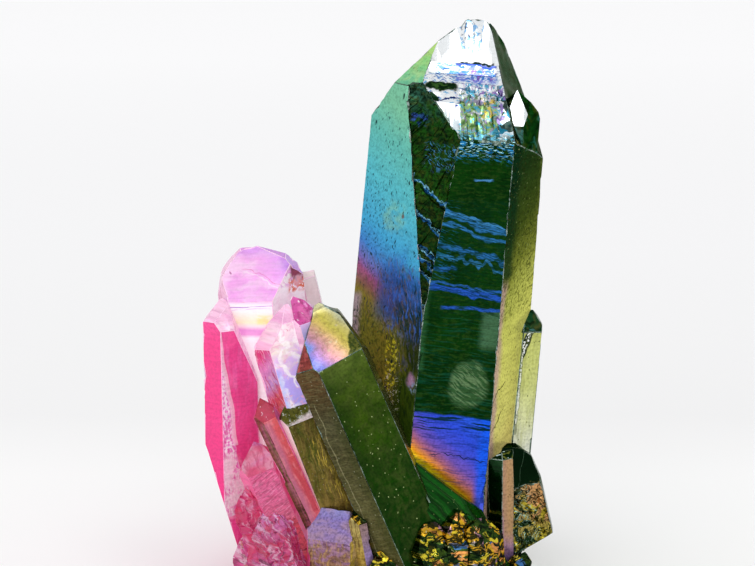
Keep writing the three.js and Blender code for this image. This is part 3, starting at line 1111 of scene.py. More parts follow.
MAIN_FILMS = {
    "sides": GREEN_BACK,
    "tips": DARK_TIP,
    "breaks": DARK_TIP,
    "side0": Film(
        stops=(
            (11.2, 0xFCF85A), (12.3, 0xFCE214), (13.1, 0xF29B23), (14, 0xB4696E), (15.2, 0x7054B2),
            (16.8, 0x404ED0), (18.5, 0x2E4CD6), (21.5, 0x265ADC),
        ),
        slant=38.7, warp=0.5, warp_size=3.5, metal=0.72, rough=0.15, coat=0.03, painted_glow=0.2, clear=0.003,
        lines=0.2,
    ).marked(
        Mark(0x165AEE, share=0.9, zone=(4.4, 8, 11, 26), fade=1),
        Mark(0x142D78, STREAK, (2.5, 0.25), 0.58, 0.06, 0.5, slant=4, zone=(-9, 9, 15.5, 24)),
        Mark(0x042A06, zone=(-9, 9, 20, 70), cuts=((86, 24.5),), fade=0.4),
        Mark(0x042A06, STREAK, (4.5, 0.3), 0.55, 0.03, 0.9, slant=4, zone=(-6, 6, 22.5, 25.2)),
        Mark(0x0E3E08, CLOUD, (4, 5), 0.5, 0.14, 0.5, zone=(-9, 9, 33, 62), fade=3),
        Mark(0x284614, CLOUD, (0.7, 0.3), 0.56, 0.08, 0.5, zone=(-9, 9, 24.5, 62)),
        Mark(0x0C4834, STREAK, (4, 0.22), 0.58, 0.06, 0.55, slant=4, zone=(-9, 9, 24.5, 38)),
        # Painted reflection: a soft pale-green oval with bright streaks, and a pale patch above it,
        # mirrored in this face.
        Mark(0x467044, share=0.42, zone=(-0.6, 5.2, 25, 32.2), oval=True, fade=0.3),
        Mark(0x7D9B6E, STREAK, (2, 0.2), 0.54, 0.06, 0.45, slant=34, zone=(-0.6, 5.2, 25, 32.2),
             oval=True, fade=0.35),
        Mark(0x5F8C69, share=0.4, zone=(3.4, 5.8, 33.6, 38.4), fade=1.2),
        # Painted reflections: the wavy blue bands stand for light caught by the tilted growth ledges.
        Mark(LEDGE_REFLECTION_BLUE, BAND, (2.4, 0.6), 50, 0.9, slant=14),
        Mark(0x3C82B9, BAND, (1.5, 0.2), 50.4, 0.4, slant=14),
        Mark(LEDGE_REFLECTION_BLUE, BAND, (2.5, 0.4), 48.6, 0.9, slant=15),
        Mark(0x2664A0, BAND, (1.6, 0.5), 46, 0.9, slant=13),
        Mark(0x2D6EA0, BAND, (1.3, 0.34), 44.9, 1.1, slant=12),
        Mark(0x235AA5, BAND, (3, 0.32), 43.7, 0.6, slant=2, zone=(-9, -0.4, 38, 52)),
        Mark(0x2352B6, BAND, (3.5, 0.5), 40.8, 1, slant=6),
        Mark(0x285FAA, BAND, (2, 0.2), 41.5, 0.5, slant=6),
        Mark(0x2655B4, BAND, (3, 0.26), 38.7, 0.4, slant=3, zone=(-2, 9, 30, 45)),
        Mark(0x4682B9, BAND, (2, 0.2), 55.3, 0.5, slant=5, zone=(1, 3.2, 50, 60)),
        Mark(0x063016, STREAK, (1.6, 0.13), 0.53, 0.07, 0.75, slant=13, zone=(-9, 9, 37.5, 52.5)),
        Mark(0x063016, CLOUD, (1.1, 0.5), 0.57, 0.07, 0.7, zone=(-9, 9, 43, 47.5)),
        Mark(0x1E698C, STREAK, (1.2, 0.1), 0.62, 0.05, 0.7, slant=16, zone=(-9, -1, 42, 52), fade=2),
        Mark(0x192346, BAND, (1.5, 0.09), 19.3, 0.8, slant=5, zone=(-2, 5.5, 10, 26)),
        Mark(0x783C8C, BAND, (2, 0.08), 15.6, 0.5, slant=38, zone=(-3, 3, 10, 20)),
        Mark(0x3C7346, share=0.35, zone=(-6, -3.7, 30, 62), fade=0.8),
        Mark(0x2882BE, STREAK, (0.8, 0.25), 0.56, 0.04, 0.9, slant=18, zone=(-3, 7, 57.6, 62), fade=1.4),
        Mark(0xAAE1EB, STREAK, (0.6, 0.16), 0.6, 0.04, 0.95, slant=-10, zone=(-3, 7, 58.2, 62), fade=1.4),
    ),
    "side5": Film(
        stops=(
            (12, 0x284812), (20, 0x465C16), (28, 0x707626), (33, 0x8A822E), (34.5, 0x8C6454),
            (35.8, 0xA05480), (37.3, 0x786CB6), (39.2, 0x4284CD), (42, 0x42A2D0), (48, 0x55B8C6),
            (54, 0x62B8AC), (58, 0x78BE9C),
        ),
        slant=20, warp=0.9, warp_size=3, metal=0.35, rough=0.28, coat=0.1, clear=0.01, painted_glow=0.1,
        lines=0.8, relief=0.006, shadow=0.06, grit=0.25,
    ).marked(
        Mark(0xBEACC0, share=0.7, zone=(-9, -5.9, 31, 37), fade=1.4),
        Mark(0x225496, share=0.85, zone=(-2.6, 9, 34.5, 42), fade=3),
        Mark(0x80822C, share=0.8, zone=(-6, 3, 18, 35), fade=2.4),
        Mark(0x183418, share=0.85, zone=(1, 9, 29, 38), cuts=((30, 19.5),), fade=2.2),
        Mark(0x3E5C14, share=0.8, zone=(3.6, 9, 12, 29), fade=2),
        Mark(0x0E2814, STREAK, (0.4, 1.6), 0.54, 0.1, 0.6, slant=-8, zone=(1.2, 9, 12, 42), fade=2.4),
        Mark(0x3C6EC8, STREAK, (0.35, 1.3), 0.56, 0.06, 0.8, slant=-20, zone=(-0.5, 9, 34, 43), fade=2.4),
        Mark(0x5A5F78, STREAK, (0.4, 1.2), 0.6, 0.06, 0.6, slant=-12, zone=(2.4, 9, 28, 36), fade=2),
        Mark(0x425016, CLOUD, (0.35, 0.5), 0.54, 0.08, 0.7, zone=(-9, 4, 14, 36), fade=3),
        Mark(0x5F5546, STREAK, (0.35, 1.2), 0.57, 0.06, 0.6, slant=-20, zone=(-6, 6, 34, 43), fade=2),
        Mark(0xD7D732, CLOUD, (0.4, 0.45), 0.55, 0.03, 0.95, zone=(0.4, 2.8, 26, 33.4)),
        Mark(0xDEA5D4, CLOUD, (0.9, 0.9), 0.4, 0.1, 0.85, zone=(4.9, 7.4, 27.2, 29.6), oval=True, fade=0.8),
        Mark(0xAFCDF5, CLOUD, (0.5, 0.5), 0.52, 0.08, 0.8, zone=(5.6, 7.6, 26.6, 28.8), oval=True,
             fade=0.8),
        Mark(0x96BE6E, CLOUD, (1.4, 1), 0.54, 0.16, 0.35, zone=(-3, 1.8, 46.5, 50.5), fade=1.2),
        Mark(0x785032, share=0.8, zone=(0.9, 1.7, 48.6, 49.6), oval=True),
        Mark(0x0F3741, SPECK, (0.5, 1.1), 0.22, 0.09, 0.85, slant=10, zone=(-9, 9, 33, 62), fade=3),
        Mark(0x0F282D, SPECK, (1.1, 2.6), 0.15, 0.05, 0.9, slant=12),
        Mark(0x0F323C, SPECK, (0.35, 0.6), 0.3, 0.12, 0.8, zone=(-9, -1, 40, 54), fade=3),
        Mark(0xEBF0C8, SPECK, (0.5, 0.8), 0.24, 0.06, 0.95, zone=(0.6, 4.2, 17, 31)),
        Mark(0xE1EBC8, STREAK, (0.9, 0.12), 0.63, 0.03, 0.95, slant=-4, zone=(0.8, 4.4, 19, 28.5)),
    ),
    "break2": Film(
        stops=((-30, 0x0E3214), (-20, 0x103812), (-9, 0x1A4612), (-3, 0x123814), (1, 0x326450)), warp=0.8,
        warp_size=1.2, metal=0.7, rough=0.2, coat=0.03, clear=0.003, lines=0.4, relief=0.02, grit=0.5,
    ).marked(
        Mark(0x3A4614, CLOUD, (0.8, 0.6), 0.52, 0.1, 0.7),
        Mark(0x081E0C, CLOUD, (0.6, 0.5), 0.54, 0.06, 0.8),
        Mark(0x3C5FCD, CLOUD, (0.8, 0.4), 0.5, 0.08, 0.9, zone=(0.4, 2.6, -3, -1.6), fade=0.5),
        Mark(0x5096CD, STREAK, (0.7, 0.2), 0.58, 0.04, 0.9, slant=28, zone=(3.2, 9, -8, -5), fade=1),
        Mark(0x1E5614, CLOUD, (0.7, 0.9), 0.54, 0.12, 0.7, zone=(0, 9, -12, 0)),
        # Painted reflections: blue bands where the strip's tilted ledges catch light, each with a paler
        # painted highlight line just above it.
        *(Mark(0x2869A5, BAND, (1.1, 0.26), level, 0.5, slant=STRIP_SLANT) for level in STRIP_LEDGES),
        *(Mark(0x7DBED7, BAND, (0.8, 0.1), level + 0.2, 0.6, slant=STRIP_SLANT) for level in STRIP_LEDGES),
    ),
    "side1": Film(
        stops=(
            (9, 0xD4AF80), (16, 0xD8C278), (23, 0xD6D076), (33, 0xD2D26C), (38, 0xB6BA5C), (41.5, 0x7A8038),
            (46, 0x485420), (53, 0x263C1A), (60, 0x1A3C20), (65, 0x245038),
        ),
        slant=-22, warp_size=3, metal=0.5, rough=0.2, coat=0, painted_glow=0.2, clear=0.005,
        lines=0.5, shadow=0.15, tint=0xE1E196, grit=0.3,
    ).marked(
        Mark(0xBC9896, share=0.8, zone=(-9, -5.2, 10, 42), fade=1.8),
        Mark(0x06301E, share=0.8, zone=(-9, -3.6, 42, 66), fade=2.4),
        Mark(0x78803E, share=0.55, zone=(4.5, 9, 44, 62), fade=2.2),
        Mark(0x96A56E, SPECK, (0.5, 0.7), 0.16, 0.06, 0.8, zone=(-6, 6, 42, 62), fade=2),
        Mark(0x28300F, STREAK, (0.8, 0.35), 0.56, 0.05, 0.6, slant=-30, zone=(-9, 9, 37, 62), fade=2),
        Mark(0x463C1E, SPECK, (0.7, 0.7), 0.17, 0.07, 0.9),
        Mark(0x322C0E, BAND, (1.2, 0.15), 30.8, 0.4, slant=-33, zone=(-9, -2.6, 22, 34)),
        Mark(0x322C0E, BAND, (1.2, 0.14), 26.6, 0.4, slant=-33, zone=(-9, -2.6, 18, 32)),
        Mark(0x323719, BAND, (0.9, 0.1), 41.4, 0.8, slant=-40, zone=(2, 8, 36, 46)),
    ),
    # The front tip's near-white main colours are a painted highlight: the glare of light off this face.
    "tip0": Film(
        stops=((-2, 0xC8E4EE), (5, 0xEEF4F8), (10, 0xF6F9FB), (18, 0xF3F8FB)), warp=0.7, warp_size=1.2,
        metal=0.85, rough=0.14, clear=0.02, relief=0.004, shadow=0.05, grit=0.05,
    ).marked(
        Mark(0x96C3EB, CLOUD, (1.2, 0.5), 0.58, 0.06, 0.7, zone=(-5.8, 4, 8.6, 11)),
        Mark(0x5FAFE1, CLOUD, (0.8, 0.35), 0.62, 0.04, 0.9, zone=(-7.4, 4.5, 5, 10.6)),
        Mark(0x0F3CA0, STREAK, (1, 0.22), 0.63, 0.03, 0.95, slant=6, zone=(-7.8, 4.6, 4.6, 10.6)),
        Mark(0x042208, zone=(-6.2, -1.3, 6.9, 8.3), oval=True, fade=0.25),
        Mark(0x3C6428, CLOUD, (0.8, 0.25), 0.54, 0.05, 0.8, zone=(-6.2, -1.3, 6.9, 8.3), oval=True),
        Mark(0x0A2C6E, BAND, (1.2, 0.16), 6.55, 0.3, slant=-9, zone=(-7.2, -1.6, 5, 8.4)),
        Mark(0x04220A, zone=(-7.6, -3.8, 5.2, 6.8), oval=True, fade=0.25),
        Mark(0x1E55BE, BAND, (1, 0.14), 5.1, 0.3, slant=-4, zone=(-7.6, -4.2, 4, 6)),
        Mark(0x6E78D7, share=0.9, zone=(-1.6, 3.2, 8.6, 11.1), fade=0.5),
        Mark(0x2378C8, STREAK, (0.9, 0.25), 0.52, 0.05, 0.85, slant=8, zone=(-4.5, 3.4, 8.4, 11.2)),
        Mark(0xE1EBFF, STREAK, (0.7, 0.25), 0.55, 0.05, 0.9, slant=-12, zone=(-1.6, 3.4, 8.4, 11),
             fade=0.4),
        Mark(0x824BAF, CLOUD, (0.5, 0.7), 0.58, 0.05, 0.85, zone=(0.2, 4.4, 7, 10.6)),
        Mark(0x8CB469, CLOUD, (0.8, 1), 0.36, 0.06, 0.95, zone=(-1.4, 3.4, -3, 6.2)),
        Mark(0x3C6E28, CLOUD, (0.5, 0.7), 0.54, 0.05, 0.85, zone=(-1.4, 3.4, -3, 7.4)),
        Mark(0xA087BE, CLOUD, (0.6, 0.9), 0.57, 0.06, 0.7, zone=(-1.6, 3.8, -3, 8.4)),
        Mark(0x46A5C8, CLOUD, (0.5, 0.5), 0.58, 0.04, 0.9, zone=(-1.6, 6.6, -3, 8.6)),
        Mark(0xE1C85A, CLOUD, (0.45, 0.9), 0.54, 0.05, 0.95, zone=(1.5, 2.9, 3.4, 6.6)),
        Mark(0x062C1C, MOSAIC, (0.9, 1), 0.5, 0.04, 0.95, zone=(3.2, 8, -3, 8.2)),
        Mark(0x1E7896, MOSAIC, (0.6, 0.8), 0.26, 0.04, 0.95, zone=(3, 8, -1, 8.2)),
        Mark(0x8C73B9, MOSAIC, (0.5, 0.7), 0.18, 0.04, 0.9, zone=(2.4, 8, -1, 8.2)),
        Mark(0x021A1E, zone=(-1.8, 3.4, 11.15, 11.75), fade=0.25),
        Mark(0x143CA0, share=0.9, zone=(-1.8, 3.4, 10.75, 11.15), fade=0.25),
        Mark(0x060E3C, STREAK, (0.35, 1.1), 0.53, 0.04, 0.95, slant=12, zone=(-0.9, 0.7, 15, 18.4)),
        Mark(0x78B4E8, CLOUD, (0.6, 0.7), 0.55, 0.04, 0.9, zone=(-1.2, 2, 13, 18.4)),
        Mark(0x103A16, CLOUD, (0.7, 0.5), 0.46, 0.05, 0.95, zone=(-4, 8, -3, 0.9), fade=1.2),
        Mark(0x78CDEB, CLOUD, (0.5, 0.3), 0.55, 0.04, 0.95, zone=(-4, 8, -3, 1.4), fade=1),
    ),
    "tip5": Film(
        stops=((0, 0x69B996), (3.5, 0x87CD82), (8, 0xB9DA73), (14, 0xD7E47D)), warp=0.8, metal=0.5,
        rough=0.22, clear=0.04, lines=0.7, shadow=0.1, tint=0xD7E696, painted_glow=0.1,
    ).marked(
        Mark(0x284628, SPECK, (0.9, 0.9), 0.14, 0.06, 0.8),
        Mark(0xDCE696, CLOUD, (1.4, 1), 0.54, 0.2, 0.3),
    ),
    "tip4": Film(
        stops=((-6, 0x5AAAA0), (2, 0x78BE96), (12, 0xBED278)), clear=0.2, lines=0.7,
        shadow=0.15,
    ).marked(PITS),
    "break0": Film(
        stops=((-8, 0x102E16), (-2, 0x0C2E14), (2, 0x103A22), (8, 0x245446)), warp=0.7, warp_size=1.4,
        rough=0.2, clear=0.01, coat=0, grit=0.4,
    ).marked(
        Mark(0x5C541E, CLOUD, (0.7, 1.6), 0.48, 0.1, 0.85, slant=-20, zone=(-4, 3, -4, 5), fade=1.2),
        Mark(0xD7C882, STREAK, (0.25, 1.6), 0.6, 0.05, 0.9, slant=12, zone=(-4, 2, -4, 4), fade=1),
        Mark(0x465F50, CLOUD, (0.8, 1.4), 0.52, 0.1, 0.6),
        Mark(0x041A0A, STREAK, (1, 0.4), 0.54, share=0.8, slant=40),
    ),
}
MAIN_RELIEFS = {
    "side0": Relief(
        spacing=1.2, riser=0.35, cell=0.9, slant=9, rough=0.03, cover=0.72, seed=3, chunk=0.8,
        block=0.5, broken=(-9, 9, 57.4, 63),
    ),
    "side5": Relief(spacing=2.6, depth=0.04, riser=0.3, cell=1.3, rough=0.02, cover=0.5, seed=4),
    "side1": Relief(spacing=1.7, riser=0.3, cell=1.3, slant=-8, rough=0.03, cover=0.6, seed=5),
    "side2": Relief(spacing=1.5, depth=0.09, cover=0.8, seed=6),
    "side3": Relief(spacing=1.3, depth=0.1, slant=5, cover=0.8, seed=7),
    "side4": Relief(spacing=1.8, depth=0.08, slant=-4, seed=8),
    "break2": Relief(
        depth=0.4, riser=0.12, cell=0.4, slant=STRIP_SLANT, rough=0.22, grain=0.9, fade=0.3, cover=1.4,
        ledges=tuple(
            (level * math.cos(math.radians(STRIP_SLANT)), 0.42) for level in reversed(STRIP_LEDGES)
        ),
        chunk=0.9, block=0.35, broken=(-2, 12, -8, 2), seed=9,
    ),
    "tip0": Relief(
        depth=0.75, riser=0.18, cell=0.55, rough=0.06, grain=1.6, fade=0.25, cover=1.4, chunk=0.95,
        block=0.6, broken=(-1.6, 7.5, -3, 8),
        ledges=((-3, 0.1), (5.3, 0.35), (6.8, 0.4), (8.4, 0.3), (9.6, 0.2), (11.3, 0.6)),
    ),
    "break0": Relief(spacing=2.6, depth=0.2, riser=0.3, cell=0.7, slant=30, rough=0.04, cover=0.6, seed=12),
    "tips": Relief(spacing=2.2, depth=0.15, riser=0.15, cell=1.2, rough=0.05, cover=0.8, seed=13),
}


@dataclass(frozen=True)
class Mound:
    """A low rough mass between the feet of the crystals: its centre and half sizes, in mm."""

    name: str
    centre: Triple
    half: Triple
    film: Film
    roughness: float = 0.12
    fineness: int = 6
    crag: float = 1.6
    grain: float = 0.9

    def shape(self, wardrobe: "Wardrobe") -> bmesh.types.BMesh:
        """Build the mound.

        Args:
            wardrobe: Gives it its material slot.

        Returns:
            The closed mesh, in millimetres.
        """
        mesh = bmesh.new()
        bmesh.ops.create_icosphere(mesh, subdivisions=self.fineness, radius=1.0)
        slot = wardrobe.slot(self.name, EVERYWHERE, self.film)
        for vert in mesh.verts:
            x, y, z = vert.co
            bump = math.sin(5.1 * x + 1.3) * math.sin(4.3 * y - 0.7) * math.sin(4.7 * z + 2.1)
            radius = 1 - self.roughness * (1 + bump)
            place = Vector(c + h * radius * part for c, h, part in zip(self.centre, self.half, vert.co))
            crags = noise.voronoi(place / self.crag)[0]
            fine = noise.fractal(place / self.grain, *CHIP_DETAIL)
            vert.co = place + vert.co * (0.55 * (crags[1] - crags[0]) - 0.35 + 0.2 * fine)
        for face in mesh.faces:
            face.material_index = slot
        return mesh


# CRYSTALS

POINT_REACH = (1.0, 0.92, 1.05, 1.0, 0.9, 1.08)
POINT_SHOULDER_STEP = (0, 0.5, 0.3, 0.1, 0.45, 0.25)
TIP_RISE = 1.27
POINT_RELIEF = Relief(spacing=1.0, depth=0.08, riser=0.12, cell=1.4, rough=0.04, cover=0.8, seed=21)
DRUSE_RELIEF = replace(POINT_RELIEF, cell=1.0, depth=0.16, rough=0.14, grain=0.9)


def point(
    number: int, foot: Pair, lean: Pair, roll: float, half: float, tall: float, film: Film
) -> Crystal:
    """Describe a small crystal of the common habit.

    Args:
        number: Its number among the small points.
        foot: Where its axis meets the base cut, in mm.
        lean: Its lean to the right and to the front, in degrees.
        roll: The turn of its first face, in degrees.
        half: Half its width, in mm.
        tall: Its height, in mm.
        film: Its finish.

    Returns:
        The crystal.
    """
    return Crystal(
        name=f"point{number}",
        foot=foot,
        lean=lean,
        roll=roll,
        reach=tuple(part * half for part in POINT_REACH),
        shoulder=tuple(tall - half * (TIP_RISE - step) for step in POINT_SHOULDER_STEP),
        films={"all": film},
        reliefs={"all": DRUSE_RELIEF if film is DRUSE else POINT_RELIEF},
        worn=0.07,
    )


PINK_RELIEF = Relief(riser=0.2, cell=1.2, rough=0.05, grain=0.8, cover=0.8, seed=22)
STONY = Film(stops=((0, 0x786432), (20, 0x786432)), metal=0.5, rough=0.24, clear=0.01, grit=0.3)
MAIN_STEP_FILMS = {
    "all": DARK_TIP,
    # The near-white tip is a painted highlight.
    "tip0": Film(stops=((0, 0xF5FAFC), (4, 0xEEF6FA)), warp=0.5, rough=0.1, shadow=0.05, grit=0.05),
}
SIDE_FILMS = {
    "all": PALE_SIDE,
    "side0": replace(PALE_SIDE, warp=0.25, warp_size=1.2, shared="").marked(
        *PALE_SIDE.marks,
        Mark(0xB0B854, share=0.7, zone=NOTCH_ZONE, cuts=((159.7, 12.3),), fade=0.3),
        Mark(0x0C260E, zone=NOTCH_ZONE, cuts=((-20.3, -12.4), (159.7, 11.35)), fade=0.16),
        Mark(0xFCFFFC, MOSAIC, (0.22, 0.26), 0.36, 0.03, zone=(-3, 3, 29.6, 33.3),
             cuts=((-20.3, -12.2), (159.7, 11.6)), fade=0.16),
        Mark(0x46542C, share=0.6, zone=(-2.4, EDGE_AT + 0.1, 19.5, 30.4), fade=0.12),
        Mark(0xECF0E0, CLOUD, (0.4, 0.3), 0.42, 0.04, zone=(-2.4, EDGE_AT, 21, 30.4), fade=0.1),
    ),
    "tips": DARK_TIP,
}
DOME_BREAKS = (
    (-8, 0xFAB9E1, 0xFCCDF0), (-8, 0xFAB9E1, 0xFCCDF0), (-6, 0xBE87F0, 0xCD9BF5),
    (-6, 0xE196F0, 0xF0B4F0), (-6, 0xC887F0, 0xD796F2),
)
DOME_FILMS = {
    "all": PINK_BACK,
    "tips": PINK_TIP,
    "tip0": replace(
        PINK, stops=((-5, 0xFCCDF0), (-2, 0xFABEF2), (2, 0xF4B2F2), (4.5, 0xE6A5F5), (6.8, 0xBE87F0)),
        slant=78, warp=1.6, warp_size=3, painted_glow=0.12, clear=0.15, tint=0xFAC8F0, grit=0.06,
    ).marked(
        Mark(0xEE96EB, CLOUD, (3, 1.6), 0.5, 0.16, 0.7, zone=(-3.5, 3.5, 0.4, 4.2), fade=1.6),
        Mark(0xFEE1FA, CLOUD, (3, 1.4), 0.52, 0.16, 0.6),
        Mark(0xE169AA, BAND, (2.5, 0.09), 4.2, 0.6, 0.7, slant=24, zone=(-1.2, 3.4, 1.4, 5.4)),
        Mark(0xFFF0FC, BAND, (2.5, 0.14), 3.95, 0.6, 0.6, slant=24, zone=(-1.2, 3.4, 1.2, 5.4)),
        Mark(0x963278, share=0.8, zone=(-3.4, -3.05, 4.2, 4.7), oval=True, fade=0.5),
        Mark(0xAF73E4, share=0.7, zone=(3.9, 8, 4, 9), fade=2.2),
        Mark(0xCD8CF0, share=0.6, zone=(-3, 8, 6.9, 9), fade=1.4),
    ),
    **{
        f"break{number}": replace(PINK, stops=((start, first), (6, last)), marks=())
        for number, (start, first, last) in enumerate(DOME_BREAKS)
    },
    "side5": replace(PINK, stops=((20, 0xF56EB4), (34, 0xFAAFDC), (44, 0xFCCDEE))),
    "side0": replace(
        PALE,
        stops=(
            (10, 0xFEF5FA), (30, 0xFFFCFE), (34, 0xFEF6FC), (34.4, 0xECA0DE), (35, 0xE896DC),
            (35.5, 0xFEE8EE), (36, 0xFEF6CD), (36.9, 0xFEFAE8), (37.6, 0xFFFEFD), (38.3, 0xFDFBFE),
            (38.8, 0xEECDF5),
        ),
        slant=2, warp=0.25,
    ).marked(
        Mark(0xFAE878, CLOUD, (1.4, 0.4), 0.44, 0.1, 0.7, zone=(0.6, 5, 35.8, 36.9)),
        Mark(0xB98CE1, BAND, (3, 0.07), 38.1, 0.2, slant=-2),
        Mark(0xD7AFEB, BAND, (3, 0.05), 37.8, 0.2, slant=-3),
    ),
    "side1": replace(
        PALE, stops=((28, 0xFAE1EE), (38, 0xFCF0F6), (42, 0xFFFAFA)), warp=0.6, warp_size=1.5,
    ).marked(
        Mark(0xE196D7, CLOUD, (0.8, 0.6), 0.5, 0.06, 0.9, zone=(-1.5, 2.2, 40.2, 42.6)),
        Mark(0x690C10, CLOUD, (0.9, 0.8), 0.36, 0.05, 1, zone=(0.8, 3.2, 40.4, 43.2)),
        Mark(0xD75F0A, CLOUD, (0.5, 0.4), 0.46, 0.04, 1, zone=(0.2, 3.6, 39.2, 40.9)),
        Mark(0xF0CDE1, CLOUD, (1.2, 0.9), 0.58, 0.1, 0.5),
    ),
}
OUTER_EDGE = ((188.3, -2.31),)
OUTER_FILMS = {
    "all": PINK_BACK,
    "tips": PINK_TIP,
    "break0": PINK_TIP,
    "break2": PINK_TIP,
    "side5": replace(
        PINK, stops=((10, 0xF8328C), (22, 0xFA428E), (34, 0xFC4691), (38, 0xF85FA5)), warp=2, painted_glow=0.06,
        clear=0.15, tint=0xFA50A0, shadow=0.08, marks=(),
    ),
    "side0": replace(
        PINK, stops=((10, 0xF54B9B), (22, 0xF24E96), (30, 0xF64C96), (38, 0xF84696)), warp=0.8, painted_glow=0.1,
        clear=0.15, tint=0xFA5AA0, shadow=0.1,
    ).marked(
        Mark(0xF86EB4, STREAK, (0.5, 5), 0.55, share=0.5),
        Mark(0xEE7DCD, zone=(-2.75, 9, 11, 36), cuts=OUTER_EDGE, fade=0.12),
        Mark(0xFFF0FA, CLOUD, (0.28, 0.5), 0.48, 0.06, 0.95, zone=(-2.75, 9, 11, 36), cuts=OUTER_EDGE,
             fade=0.12),
        Mark(0xE146A5, STREAK, (0.3, 1.2), 0.56, 0.05, 0.8, slant=-8, zone=(-2.75, 9, 11, 24),
             cuts=OUTER_EDGE),
        Mark(0xFEF0FA, CLOUD, (1.2, 1.6), 0.45, 0.12, 0.85, zone=(-2.6, 9, 11, 18.5),
             cuts=OUTER_EDGE, fade=1.5),
        Mark(0xFCCDE1, share=0.8, zone=(-2.9, 9, 20, 35), cuts=((188.3, -2.65), (8.3, 2.05)), fade=0.12),
    ),
    "side1": replace(PINK, stops=((10, 0xF04696), (35, 0xF55AA0))),
}
CENTRE_FILMS = {
    "all": PINK_BACK,
    "tips": PINK_TIP,
    "side0": replace(
        PALE,
        stops=(
            (20, 0x96A0F5), (27.5, 0xB9A5F5), (30, 0xE1B9F0), (32.5, 0xF8DEE8), (36, 0xFCECEC),
            (39, 0xFCE1EC),
        ),
        slant=-24, warp=1.2, warp_size=2, clear=0.15,
    ).marked(
        Mark(0xF0EBCD, CLOUD, (2, 0.8), 0.5, 0.12, 0.6, zone=(-3, 3, 32, 35.5)),
        Mark(0xEBAFCD, CLOUD, (0.9, 0.5), 0.58, 0.06, 0.7),
        Mark(0xFFFAFC, CLOUD, (1, 1.5), 0.55, share=0.8),
        Mark(0x82A5FA, share=0.7, zone=(-6, -1, 20, 32), cuts=((250, -30.5),), fade=1.4),
        Mark(0xCD5A82, SPECK, (0.9, 0.9), 0.12, 0.06, 0.8),
    ),
    "side5": replace(
        PINK,
        stops=(
            (20, 0xF06955), (26, 0xF05F6E), (27.5, 0xC8AFF0), (30, 0xEB96D7), (31.5, 0xEE4687),
            (35, 0xEE529B), (37.5, 0xFABEDC),
        ),
        slant=-25, warp=1, warp_size=2,
    ).marked(
        Mark(0xFCD7E8, STREAK, (0.3, 1.2), 0.58, share=0.8, slant=-25),
        Mark(0xBE1E50, STREAK, (0.4, 1.6), 0.6, share=0.7, slant=-25),
        Mark(0xF5965A, CLOUD, (0.8, 1), 0.56, share=0.8, zone=(-1, 3, 20, 29)),
    ),
}
GREY_FILMS = {
    "all": replace(
        PALE, stops=((0, 0xF0CDD7), (30, 0xF0D7DE), (42, 0xEEE0DE), (46, 0xF6E8E8)), clear=0.2,
        tint=0xF5E8E8, shared="grey_pink",
    ).marked(Mark(0xD7C3C3, CLOUD, (1.5, 3), 0.5, 0.14, 0.6)),
}
MAGENTA_FILMS = {
    "all": PINK_TIP,
    "tip0": replace(
        PINK, stops=((-3, 0xE178BE), (-1, 0xD755A5), (1.5, 0xCD4696), (4, 0xD75FAA)), warp=0.6,
        warp_size=1.2, clear=0.1,
    ).marked(
        Mark(0xF2AAE1, CLOUD, (0.7, 0.7), 0.5, share=0.8, zone=(0, 4, -3, 3)),
        Mark(0xA0286E, CLOUD, (0.5, 0.7), 0.56, share=0.7),
        Mark(0xFAE1F0, SPECK, (0.6, 0.6), 0.18, share=0.8),
    ),
    "side0": replace(
        PALE, stops=((28, 0xBEAAF5), (36, 0xA0B4F8), (38, 0xE1BEF0), (40, 0xE6BEEB)), warp=0.5,
    ),
}
